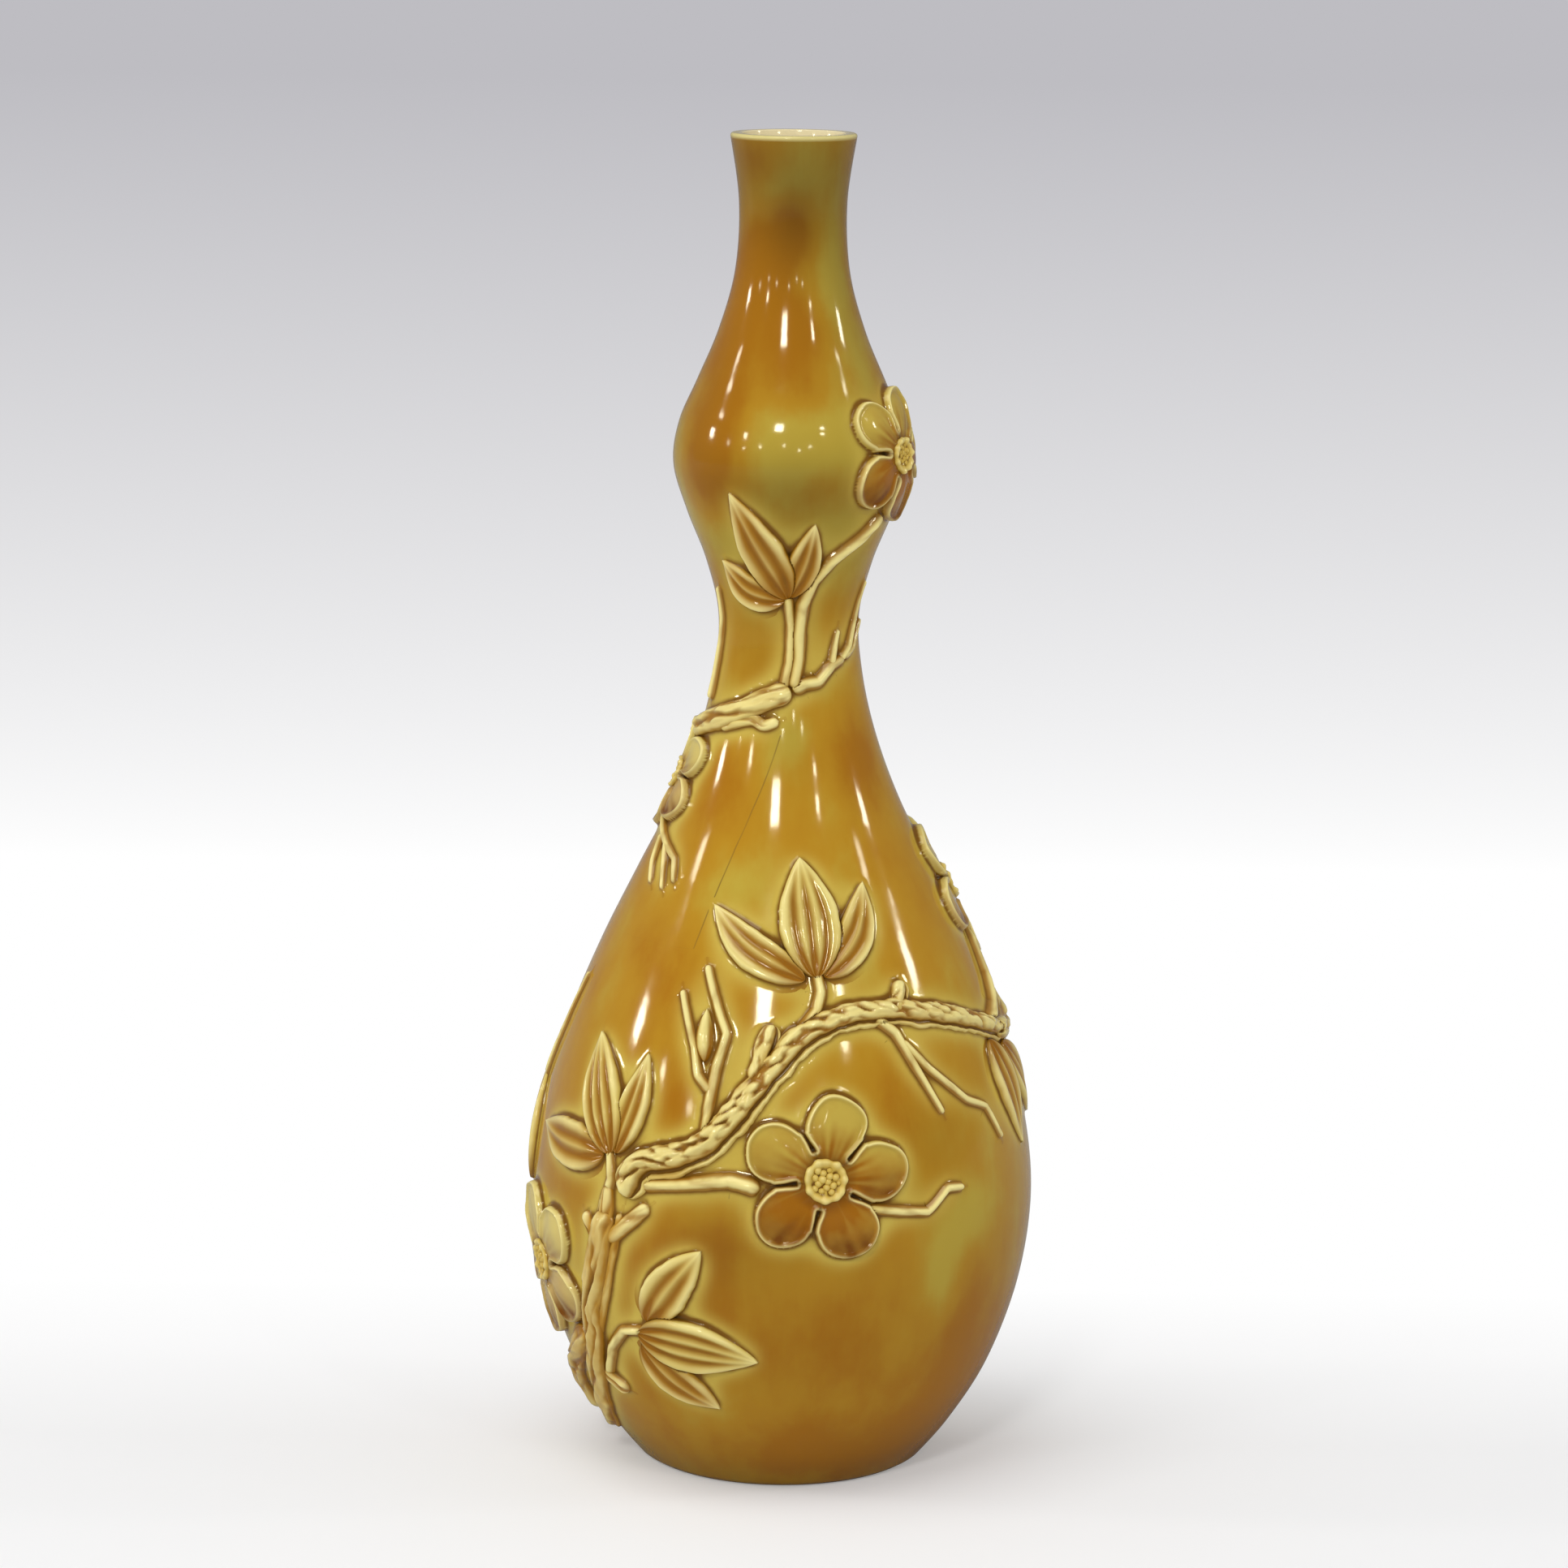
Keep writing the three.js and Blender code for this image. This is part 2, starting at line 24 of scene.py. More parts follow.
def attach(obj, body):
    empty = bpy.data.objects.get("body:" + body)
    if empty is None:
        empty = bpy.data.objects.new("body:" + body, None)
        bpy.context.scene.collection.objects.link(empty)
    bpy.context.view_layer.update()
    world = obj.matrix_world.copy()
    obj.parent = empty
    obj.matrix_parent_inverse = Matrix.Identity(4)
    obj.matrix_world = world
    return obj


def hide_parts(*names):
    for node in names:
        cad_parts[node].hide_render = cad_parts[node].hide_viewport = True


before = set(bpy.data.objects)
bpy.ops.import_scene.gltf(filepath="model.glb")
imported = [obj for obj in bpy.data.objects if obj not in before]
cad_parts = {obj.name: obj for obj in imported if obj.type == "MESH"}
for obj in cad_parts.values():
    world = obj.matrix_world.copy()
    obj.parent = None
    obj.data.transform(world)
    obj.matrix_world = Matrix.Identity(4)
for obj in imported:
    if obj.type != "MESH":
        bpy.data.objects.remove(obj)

LOG = logging.getLogger("vase")
MM = 0.001
BODY = "root"

Spot = tuple[float, float]
Colour = tuple[int, int, int]
Socket = bpy.types.NodeSocket

# Height and outer radius.
OUTER_WALL: tuple[Spot, ...] = (
    (0, 34.5), (10, 42.5), (25, 51.25), (45, 58), (66, 60.5), (87, 58), (107, 52.25), (126, 44.5),
    (144, 35.75), (161, 27.25), (177, 21.25), (192, 17.75), (206, 16.75), (219, 19.75), (231, 24.5),
    (242, 27.75), (252, 26.5), (262, 22.25), (274, 17.25), (288, 13.5), (304, 12.75), (320, 15),
)
# Height and thickness.
WALL_THICKNESS: tuple[Spot, ...] = ((0, 6.5), (66, 5), (200, 4.4), (244, 4), (300, 3.2), (320, 2.8))
BASE_THICKNESS = 7.0
LIP_HEIGHT = OUTER_WALL[-1][0]
SEAM_HEIGHT = 200.0
# Radius on which the chart is as wide as the wall.
GIRTH = 60.5 * MM
# Reach of the glaze that runs out round a sprig.
SKIRT = 2.8
CURVE_STEPS = 40
# Height above the chart from which rays are sent down on it, in metres.
RAY_START = 0.05
STRAIGHT_DOWN = (0, 0, -1)


class Slot(Enum):
    """Material slots of the record."""

    BODY = "body_glaze"
    LEAF = "leaf_glaze"
    BARK = "bark_glaze"
    PETAL = "petal_glaze"
    STAMEN = "stamen_glaze"


class SectionForm(Enum):
    """Cross-section of a strip of clay."""

    KEELED = "keeled"
    GNARLED = "gnarled"
    LEDGED = "ledged"
    VEINED = "veined"


def linear(colour: Colour) -> tuple[float, float, float, float]:
    """Turn a screen colour from 0 to 255 into scene light."""
    shares = [channel / 255 for channel in colour]
    light = [share / 12.92 if share <= 0.04045 else ((share + 0.055) / 1.055) ** 2.4 for share in shares]
    return (*light, 1.0)


def eased(low: float, high: float, value: np.ndarray) -> np.ndarray:
    """Ease from 0 at low to 1 at high."""
    share = np.clip((value - low) / (high - low), 0, 1)
    return share * share * (3 - 2 * share)


def smooth_through(points: np.ndarray, steps: int) -> np.ndarray:
    """Lay a smooth curve through points.

    Args:
        points: one point to a row.
        steps: samples between neighbouring points.

    Returns:
        The samples, one to a row.
    """
    padded = np.vstack([points[:1], points, points[-1:]])
    share = np.linspace(0, 1, steps, endpoint=False)[:, None]
    spans = []
    for before, here, there, after in zip(padded, padded[1:], padded[2:], padded[3:]):
        leave, arrive = (there - before) / 2, (after - here) / 2
        bend = 3 * (there - here) - 2 * leave - arrive
        ease = 2 * (here - there) + leave + arrive
        spans.append(here + leave * share + bend * share**2 + ease * share**3)
    return np.vstack([*spans, points[-1:]])


def plain_mesh(
    name: str, points: np.ndarray, edges: Iterable = (), faces: Iterable = (), **fields: np.ndarray
) -> bpy.types.Mesh:
    """Make a mesh whose points carry named values.

    Args:
        name: name of the mesh.
        points: one point to a row, in metres.
        edges: pairs of point numbers.
        faces: tuples of point numbers.
        fields: one value to a point, under its name.

    Returns:
        The mesh.
    """
    mesh = bpy.data.meshes.new(name)
    mesh.from_pydata([tuple(point) for point in points], list(edges), list(faces))
    set_fields(mesh, **fields)
    return mesh


def set_fields(mesh: bpy.types.Mesh, **fields: np.ndarray) -> None:
    """Write one value to each point of a mesh, for each named field."""
    for name, values in fields.items():
        layer = mesh.attributes.get(name) or mesh.attributes.new(name, "FLOAT", "POINT")
        layer.data.foreach_set("value", np.asarray(values, np.float32))


def points_of(mesh: bpy.types.Mesh) -> np.ndarray:
    """Read the points of a mesh, one to a row."""
    flat = np.empty(3 * len(mesh.vertices))
    mesh.vertices.foreach_get("co", flat)
    return flat.reshape(-1, 3)


def tree_of(mesh: bpy.types.Mesh) -> BVHTree:
    """Make a search tree of a mesh's faces."""
    faces = [tuple(face.vertices) for face in mesh.polygons]
    return BVHTree.FromPolygons([tuple(point) for point in points_of(mesh)], faces)


def chain(count: int, closed: bool = False) -> list[tuple[int, int]]:
    """Join points in a row, and the last to the first where the chain is closed."""
    links = [(i, i + 1) for i in range(count - 1)]
    return links + [(count - 1, 0)] if closed else links


@dataclass(frozen=True)
class Wall:
    """Outer wall of the vase, read by distance up its profile."""

    stations: tuple[Spot, ...]
    thickness: tuple[Spot, ...]
    guide_step: float = 0.25 * MM

    @cached_property
    def profile(self) -> np.ndarray:
        """Columns of distance, radius and height."""
        spots = smooth_through(np.array(self.stations, float) * MM, CURVE_STEPS)
        steps = np.hypot(*np.diff(spots, axis=0).T)
        arc = np.concatenate([[0], np.cumsum(steps)])
        return np.column_stack([arc, spots[:, 1], spots[:, 0]])

    @property
    def length(self) -> float:
        """Distance from the base's edge to the lip."""
        return float(self.profile[-1, 0])

    def arc_at(self, height: np.ndarray) -> np.ndarray:
        """Distance up the wall at a height."""
        return np.interp(height, self.profile[:, 2], self.profile[:, 0])

    def radius_at(self, arc: np.ndarray) -> np.ndarray:
        """Radius at a distance up the wall."""
        return np.interp(arc, self.profile[:, 0], self.profile[:, 1])

    def height_at(self, arc: np.ndarray) -> np.ndarray:
        """Height at a distance up the wall."""
        return np.interp(arc, self.profile[:, 0], self.profile[:, 2])

    def spots(self, arcs: np.ndarray, depth: float = 0.0) -> np.ndarray:
        """Profile points at distances up the wall.

        Args:
            arcs: distances up the wall.
            depth: how far in, as a share of the wall's thickness.

        Returns:
            Rows of radius and height.
        """
        nudge = 0.5 * MM
        rise = self.height_at(arcs + nudge) - self.height_at(arcs - nudge)
        run = self.radius_at(arcs + nudge) - self.radius_at(arcs - nudge)
        size = np.hypot(rise, run)
        heights = self.height_at(arcs)
        table = np.array(self.thickness) * MM
        inward = depth * np.interp(heights, table[:, 0], table[:, 1])
        return np.column_stack([self.radius_at(arcs) - inward * rise / size, heights + inward * run / size])

    def guide(self) -> bpy.types.Object:
        """The profile as a line of points, for the node trees to read."""
        arcs = np.arange(0, self.length, self.guide_step)
        spots = self.spots(arcs)
        points = np.column_stack([spots[:, 0], np.zeros(len(arcs)), spots[:, 1]])
        return bpy.data.objects.new("wall_guide", plain_mesh("wall_guide", points, chain(len(points))))


NOISE_MIDDLE = 0.5


class NodeSheet:
    """A node tree that is being laid out."""

    def __init__(self, tree: bpy.types.NodeTree) -> None:
        """Start on a tree."""
        self.tree = tree

    def place(self, kind: str, links: dict | None = None, **settings: object) -> bpy.types.Node:
        """Place a node.

        Args:
            kind: Blender's name of the node.
            links: a socket or a value for each input, by its name or place.
            settings: the node's own settings.

        Returns:
            The node.
        """
        node = self.tree.nodes.new(kind)
        for name, value in settings.items():
            setattr(node, name, value)
        for key, value in (links or {}).items():
            if isinstance(value, bpy.types.NodeSocket):
                self.tree.links.new(value, node.inputs[key])
            else:
                node.inputs[key].default_value = value
        return node

    def maths(self, operation: str, *terms: Socket | float) -> Socket:
        """Work out one value from others."""
        return self.place("ShaderNodeMath", dict(enumerate(terms)), operation=operation).outputs[0]

    def less(self, first: Socket | float, second: Socket | float) -> Socket:
        """Take the second value from the first."""
        return self.maths("SUBTRACT", first, second)

    def ratio(self, first: Socket | float, second: Socket | float) -> Socket:
        """Divide the first value by the second."""
        return self.maths("DIVIDE", first, second)

    def total(self, *terms: Socket | float) -> Socket:
        """Add values up."""
        result = terms[0]
        for term in terms[1:]:
            result = self.maths("ADD", result, term)
        return result

    def product(self, *terms: Socket | float) -> Socket:
        """Multiply values."""
        result = terms[0]
        for term in terms[1:]:
            result = self.maths("MULTIPLY", result, term)
        return result

    def vector(self, x: Socket | float, y: Socket | float, z: Socket | float) -> Socket:
        """Make a point from its three parts."""
        return self.place("ShaderNodeCombineXYZ", {0: x, 1: y, 2: z}).outputs[0]

    def parts(self, vector: Socket) -> list[Socket]:
        """Take a point apart."""
        return list(self.place("ShaderNodeSeparateXYZ", {0: vector}).outputs)

    def noise(self, vector: Socket, scale: float, detail: float = 2.0, rough: float = 0.5) -> Socket:
        """Soft noise from 0 to 1 over a point."""
        links = {"Vector": vector, "Scale": scale, "Detail": detail, "Roughness": rough}
        return self.place("ShaderNodeTexNoise", links).outputs[0]

    def ramp(self, value: Socket, low: float, high: float) -> Socket:
        """Ease a value from 0 at low to 1 at high."""
        links = {0: value, 1: low, 2: high}
        return self.place("ShaderNodeMapRange", links, interpolation_type="SMOOTHSTEP").outputs[0]


WELD = 0.002 * MM
# How a thumb presses a rosette: the grain of it, how far it shifts points, and how much it swells them.
PRESS_SCALE = 130.0
PRESS_ASIDE = 1.6 * MM
PRESS_SWELL = 0.6


class GeometrySheet(NodeSheet):
    """A geometry tree with named inputs."""

    def __init__(self, name: str, numbers: tuple[str, ...] = (), **sockets: str) -> None:
        """Start a tree.

        Args:
            name: name of the tree.
            numbers: names of the inputs that are plain numbers.
            sockets: the kind of each other input, by its name.
        """
        super().__init__(bpy.data.node_groups.new(name, "GeometryNodeTree"))
        face = self.tree.interface
        face.new_socket("Geometry", in_out="INPUT", socket_type="NodeSocketGeometry")
        face.new_socket("Geometry", in_out="OUTPUT", socket_type="NodeSocketGeometry")
        for label, kind in {**sockets, **dict.fromkeys(numbers, "Float"), "Material": "Material"}.items():
            face.new_socket(label, in_out="INPUT", socket_type=f"NodeSocket{kind}")
        self.given = self.tree.nodes.new("NodeGroupInput").outputs

    def named(self, *names: str) -> list[Socket]:
        """Read the named values that the points carry."""
        kind = "GeometryNodeInputNamedAttribute"
        return [self.place(kind, {"Name": name}, data_type="FLOAT").outputs[0] for name in names]

    def held(self, label: str) -> Socket:
        """Geometry of the object given under a label."""
        return self.place("GeometryNodeObjectInfo", {"Object": self.given[label]}).outputs["Geometry"]

    def curve(self, geometry: Socket) -> Socket:
        """Turn a chain of edges into a curve."""
        return self.place("GeometryNodeMeshToCurve", {"Mesh": geometry}).outputs[0]

    def moved(self, geometry: Socket, position: Socket) -> Socket:
        """Move points."""
        return self.place("GeometryNodeSetPosition", {"Geometry": geometry, "Position": position}).outputs[0]

    def stored(self, geometry: Socket, name: str, value: Socket) -> Socket:
        """Write a named value on the points."""
        links = {"Geometry": geometry, "Name": name, "Value": value}
        return self.place("GeometryNodeStoreNamedAttribute", links, data_type="FLOAT").outputs[0]

    def wall_at(self, arc: Socket) -> tuple[list[Socket], list[Socket]]:
        """Profile point and direction at a distance up the wall."""
        links = {"Curves": self.curve(self.held("Wall")), "Length": arc}
        sample = self.place("GeometryNodeSampleCurve", links, mode="LENGTH")
        return self.parts(sample.outputs["Position"]), self.parts(sample.outputs["Tangent"])

    def onto_chart(self, geometry: Socket) -> Socket:
        """Lay a flat rosette on the chart, about its centre, as unevenly as a thumb presses it."""
        place = self.place("GeometryNodeInputPosition").outputs[0]
        x, y, proud = self.parts(place)
        shifted = self.vector(x, y, self.given["Centre arc"])
        links = {"Vector": shifted, "Scale": PRESS_SCALE, "Detail": 0.0}
        press = self.parts(self.place("ShaderNodeTexNoise", links).outputs["Color"])
        aside, up, swell = (self.less(part, NOISE_MIDDLE) for part in press)
        x = self.total(x, self.product(aside, PRESS_ASIDE))
        arc = self.total(y, self.given["Centre arc"], self.product(up, PRESS_ASIDE))
        proud = self.product(proud, self.total(1.0, self.product(swell, PRESS_SWELL)))
        (radius, _, _), _ = self.wall_at(arc)
        azimuth = self.total(self.given["Centre azimuth"], self.ratio(x, radius))
        return self.moved(geometry, self.vector(self.product(azimuth, self.given["Girth"]), arc, proud))

    def finish(self, geometry: Socket) -> bpy.types.NodeTree:
        """End the tree with plain, joined and glazed geometry."""
        welded = self.place("GeometryNodeMergeByDistance", {"Geometry": geometry, "Distance": WELD})
        real = self.place("GeometryNodeRealizeInstances", {"Geometry": welded.outputs[0]})
        links = {"Geometry": real.outputs[0], "Material": self.given["Material"]}
        glazed = self.place("GeometryNodeSetMaterial", links)
        self.place("NodeGroupOutput", {0: glazed.outputs[0]})
        return self.tree


def turned_tree() -> bpy.types.NodeTree:
    """Tree that turns a profile about the axis of the vase."""
    sheet = GeometrySheet("turned_wall", Sides="Int")
    circle = sheet.place("GeometryNodeCurvePrimitiveCircle", {"Resolution": sheet.given["Sides"]}).outputs[0]
    index = sheet.place("GeometryNodeInputIndex").outputs[0]
    turn = sheet.ratio(sheet.product(index, math.tau), sheet.given["Sides"])
    ring = sheet.stored(circle, "turn", turn)
    links = {"Curve": ring, "Profile Curve": sheet.curve(sheet.given["Geometry"])}
    skin = sheet.place("GeometryNodeCurveToMesh", links).outputs[0]
    angle, reach, height = sheet.named("turn", "reach", "height")
    x = sheet.product(reach, sheet.maths("SINE", angle))
    y = sheet.product(reach, sheet.product(-1.0, sheet.maths("COSINE", angle)))
    return sheet.finish(sheet.moved(skin, sheet.vector(x, y, height)))


FILLET_RISE = 0.34 * MM
FILLET_FALL = 0.68 * MM
FILLET_SINK = 0.02 * MM
UNDER_DEPTH = 0.45 * MM
WAVE_ACROSS = 0.7
BARK_SWAY = 1.5
BARK_SOFTNESS = 0.35
PIT_EDGE = (0.36, 0.8)
LUMP_SHIFT = 5.0
LUMP_SHARE = 1.6


def strip_tree() -> bpy.types.NodeTree:
    """Tree that lays a strip of clay along a path on the chart, with its bark and a fillet of glaze."""
    numbers = ("Bark depth", "Bark length", "Bark width", "Bark slant", "Waviness", "Wave length", "Girth")
    sheet = GeometrySheet("strip_on_wall", numbers, Section="Object")
    give = sheet.given
    links = {"Curve": sheet.curve(give["Geometry"]), "Profile Curve": sheet.curve(sheet.held("Section"))}
    skin = sheet.place("GeometryNodeCurveToMesh", links).outputs[0]
    azimuth, arc, side_azimuth, side_arc = sheet.named("azimuth", "arc", "side_azimuth", "side_arc")
    half, rise, beyond, skirt_share = sheet.named("half", "rise", "beyond", "skirt_share")
    along, carve, shade, strand = sheet.named("along", "carve", "shade", "strand")
    across, skirt, dome, under = sheet.named("across", "skirt", "dome", "under")
    carved, veins, barky = sheet.named("carved", "veins", "barky")

    lengthwise = sheet.ratio(along, give["Wave length"])
    waves = sheet.vector(lengthwise, sheet.product(across, WAVE_ACROSS), strand)
    sway = sheet.less(sheet.noise(waves, 1.0), NOISE_MIDDLE)
    spread = sheet.total(1.0, sheet.product(sway, 2.0, give["Waviness"]))
    apron = sheet.product(skirt, skirt_share)
    aside = sheet.product(across, half, spread)
    offset = sheet.total(aside, apron)

    over = sheet.ratio(aside, give["Bark width"])
    run = sheet.ratio(along, give["Bark length"])
    run = sheet.total(run, sheet.product(over, give["Bark slant"]), strand)
    scales = sheet.vector(run, sheet.total(over, sheet.product(sway, BARK_SWAY)), 0.0)
    links = {"Vector": scales, "Scale": 1.0, "Smoothness": BARK_SOFTNESS}
    settings = {"voronoi_dimensions": "2D", "feature": "SMOOTH_F1"}
    away = sheet.place("ShaderNodeTexVoronoi", links, **settings).outputs["Distance"]
    pits = sheet.product(sheet.ramp(away, *PIT_EDGE), barky)
    hollow = sheet.product(give["Bark depth"], pits)
    coarse = sheet.vector(lengthwise, over, sheet.total(strand, LUMP_SHIFT))
    lumps = sheet.less(sheet.noise(coarse, 1.0, 1.0), NOISE_MIDDLE)
    swell = sheet.total(1.0, sheet.product(lumps, give["Bark depth"], barky, LUMP_SHARE))
    groove = sheet.total(sheet.product(veins, carve), pits, shade)
    skin = sheet.stored(skin, "groove", groove)
    crown = sheet.total(dome, sheet.product(carve, sheet.less(carved, dome)))
    body = sheet.product(rise, crown, swell, sheet.less(1.0, hollow))

    reach = sheet.maths("SQRT", sheet.total(sheet.product(beyond, beyond), sheet.product(apron, apron)))
    fade = sheet.maths("EXPONENT", sheet.ratio(reach, -FILLET_FALL))
    fillet = sheet.less(sheet.product(fade, FILLET_RISE), FILLET_SINK)
    buried = sheet.product(under, skirt_share, -UNDER_DEPTH)
    x = sheet.product(sheet.total(azimuth, sheet.product(side_azimuth, offset)), give["Girth"])
    y = sheet.total(arc, sheet.product(side_arc, offset))
    return sheet.finish(sheet.moved(skin, sheet.vector(x, y, sheet.total(body, fillet, buried))))


def petal_tree() -> bpy.types.NodeTree:
    """Tree that turns one petal round a blossom's centre on the chart."""
    numbers = ("Turn", "Centre azimuth", "Centre arc", "Girth")
    sheet = GeometrySheet("petals_round", numbers, Wall="Object", Count="Int")
    index = sheet.place("GeometryNodeInputIndex").outputs[0]
    step = sheet.ratio(sheet.product(index, math.tau), sheet.given["Count"])
    spots = sheet.place("GeometryNodePoints", {"Count": sheet.given["Count"]}).outputs[0]
    spin = sheet.vector(0.0, 0.0, sheet.total(step, sheet.given["Turn"]))
    links = {"Points": spots, "Instance": sheet.given["Geometry"], "Rotation": spin}
    ring = sheet.place("GeometryNodeInstanceOnPoints", links).outputs[0]
    petals = sheet.place("GeometryNodeRealizeInstances", {"Geometry": ring}).outputs[0]
    return sheet.finish(sheet.onto_chart(petals))


GOLDEN_TURN = 2.39996
FIRST_HEAD = 0.4
HEAD_SCALES = (0.75, 1.2)
HEAD_DIVISIONS = 2


def stamen_tree() -> bpy.types.NodeTree:
    """Tree that scatters stamen heads over a disc on the chart."""
    numbers = ("Spread", "Head", "Top", "Centre azimuth", "Centre arc", "Girth")
    sheet = GeometrySheet("stamen_heads", numbers, Wall="Object", Count="Int", Seed="Int")
    give = sheet.given
    index = sheet.place("GeometryNodeInputIndex").outputs[0]
    share = sheet.maths("SQRT", sheet.ratio(sheet.total(index, FIRST_HEAD), give["Count"]))
    reach = sheet.product(share, give["Spread"])
    turn = sheet.product(index, GOLDEN_TURN)
    x = sheet.product(reach, sheet.maths("COSINE", turn))
    y = sheet.product(reach, sheet.maths("SINE", turn))
    links = {"Count": give["Count"], "Position": sheet.vector(x, y, give["Top"])}
    spots = sheet.place("GeometryNodePoints", links).outputs[0]
    links = {"Radius": give["Head"], "Subdivisions": HEAD_DIVISIONS}
    head = sheet.place("GeometryNodeMeshIcoSphere", links).outputs[0]
    small, large = HEAD_SCALES
    links = {2: small, 3: large, "Seed": give["Seed"]}
    scale = sheet.place("FunctionNodeRandomValue", links, data_type="FLOAT").outputs[1]
    links = {"Points": spots, "Instance": head, "Scale": scale}
    heads = sheet.place("GeometryNodeInstanceOnPoints", links).outputs[0]
    real = sheet.place("GeometryNodeRealizeInstances", {"Geometry": heads}).outputs[0]
    join = sheet.place("GeometryNodeJoinGeometry")
    for part in (give["Geometry"], real):
        sheet.tree.links.new(part, join.inputs[0])
    return sheet.finish(sheet.onto_chart(join.outputs[0]))


def wrap_tree() -> bpy.types.NodeTree:
    """Tree that wraps the chart round the vase."""
    sheet = GeometrySheet("wrap_on_wall", ("Girth",), Wall="Object")
    x, arc, proud = sheet.parts(sheet.place("GeometryNodeInputPosition").outputs[0])
    azimuth = sheet.ratio(x, sheet.given["Girth"])
    (radius, _, height), (run, _, rise) = sheet.wall_at(arc)
    reach = sheet.total(radius, sheet.product(proud, rise))
    up = sheet.less(height, sheet.product(proud, run))
    across = sheet.product(reach, sheet.maths("SINE", azimuth))
    back = sheet.product(reach, sheet.product(-1.0, sheet.maths("COSINE", azimuth)))
    return sheet.finish(sheet.moved(sheet.given["Geometry"], sheet.vector(across, back, up)))


def grown(tree: bpy.types.NodeTree, mesh: bpy.types.Mesh, **values: object) -> bpy.types.Mesh:
    """Run a geometry tree on a mesh and keep the result as a plain mesh.

    Args:
        tree: the tree.
        mesh: what it starts from, which is used up.
        values: the tree's inputs, with _ for a blank in their names.

    Returns:
        The new mesh.
    """
    holder = bpy.data.objects.new("holder", mesh)
    bpy.context.scene.collection.objects.link(holder)
    modifier = holder.modifiers.new("tree", "NODES")
    modifier.node_group = tree
    for item in tree.interface.items_tree:
        label = item.name.replace(" ", "_")
        if item.in_out == "INPUT" and label in values:
            modifier[item.identifier] = values[label]
    seen = bpy.context.evaluated_depsgraph_get()
    dressed = holder.evaluated_get(seen)
    made = bpy.data.meshes.new_from_object(dressed, preserve_all_data_layers=True, depsgraph=seen)
    bpy.data.objects.remove(holder)
    bpy.data.meshes.remove(mesh)
    return made


def faced_out(mesh: bpy.types.Mesh) -> bpy.types.Mesh:
    """Turn every face outwards and shade the mesh smooth."""
    work = bmesh.new()
    work.from_mesh(mesh)
    bmesh.ops.recalc_face_normals(work, faces=work.faces)
    work.to_mesh(mesh)
    work.free()
    mesh.shade_smooth()
    return mesh


GROOVE_FADE = 0.35 * MM
APRON = np.array([SKIRT, 2.1, 1.5, 1.0, 0.6, 0.25]) * MM
UNDER = np.array([0.85, 0, -0.85]) * SKIRT * MM
# Columns of a section are even by this share, and gathered towards its sides by the rest.
EVEN_SHARE = 0.4
DOME_ROUND = 0.55
KEEL_POWER = 1.7
LOG_POWER = 2.2
LOG_ROUND = 0.6
# Middle and half width of each form across a ledged section.
LEDGED_LOG = (0.26, 0.74)
LEDGE = (-0.82, 0.18)
TROUGH = (-0.5, 0.16)
LEDGE_RISE = 0.3
LEAF_EDGE = (0.78, 0.22)
LEAF_EDGE_POWER = 2.4
LEAF_EDGE_ROUND = 0.7
VEIN_DEPTH = 0.38
# How strongly glaze gathers in the flanks of a section, and where across it that starts and is full.
KEEL_GLAZE = 0.9
KEEL_FLANK = (0.38, 0.8)
LOG_GLAZE = 0.7
LOG_FLANK = (0.72, 1.0)
LEDGED_GLAZE = 0.9
LEDGED_FLANK = (0.8, 1.0)
# How much bark a section takes, and where that starts and is full.
KEEL_BARK = 0.4
KEEL_BARK_EDGE = (1.0, 0.5)
LOG_BARK_EDGE = (0.25, 0.6)
LEDGED_BARK_EDGE = (0.3, 0.65)


def notch(place: np.ndarray, width: float) -> np.ndarray:
    """A soft notch of depth 1 about 0."""
    return np.exp(-((place / width) ** 2))


def log_top(place: np.ndarray) -> np.ndarray:
    """Rounded top of a log, from 1 in its middle to 0 at its sides."""
    return np.clip(1 - np.abs(place) ** LOG_POWER, 0, 1) ** LOG_ROUND


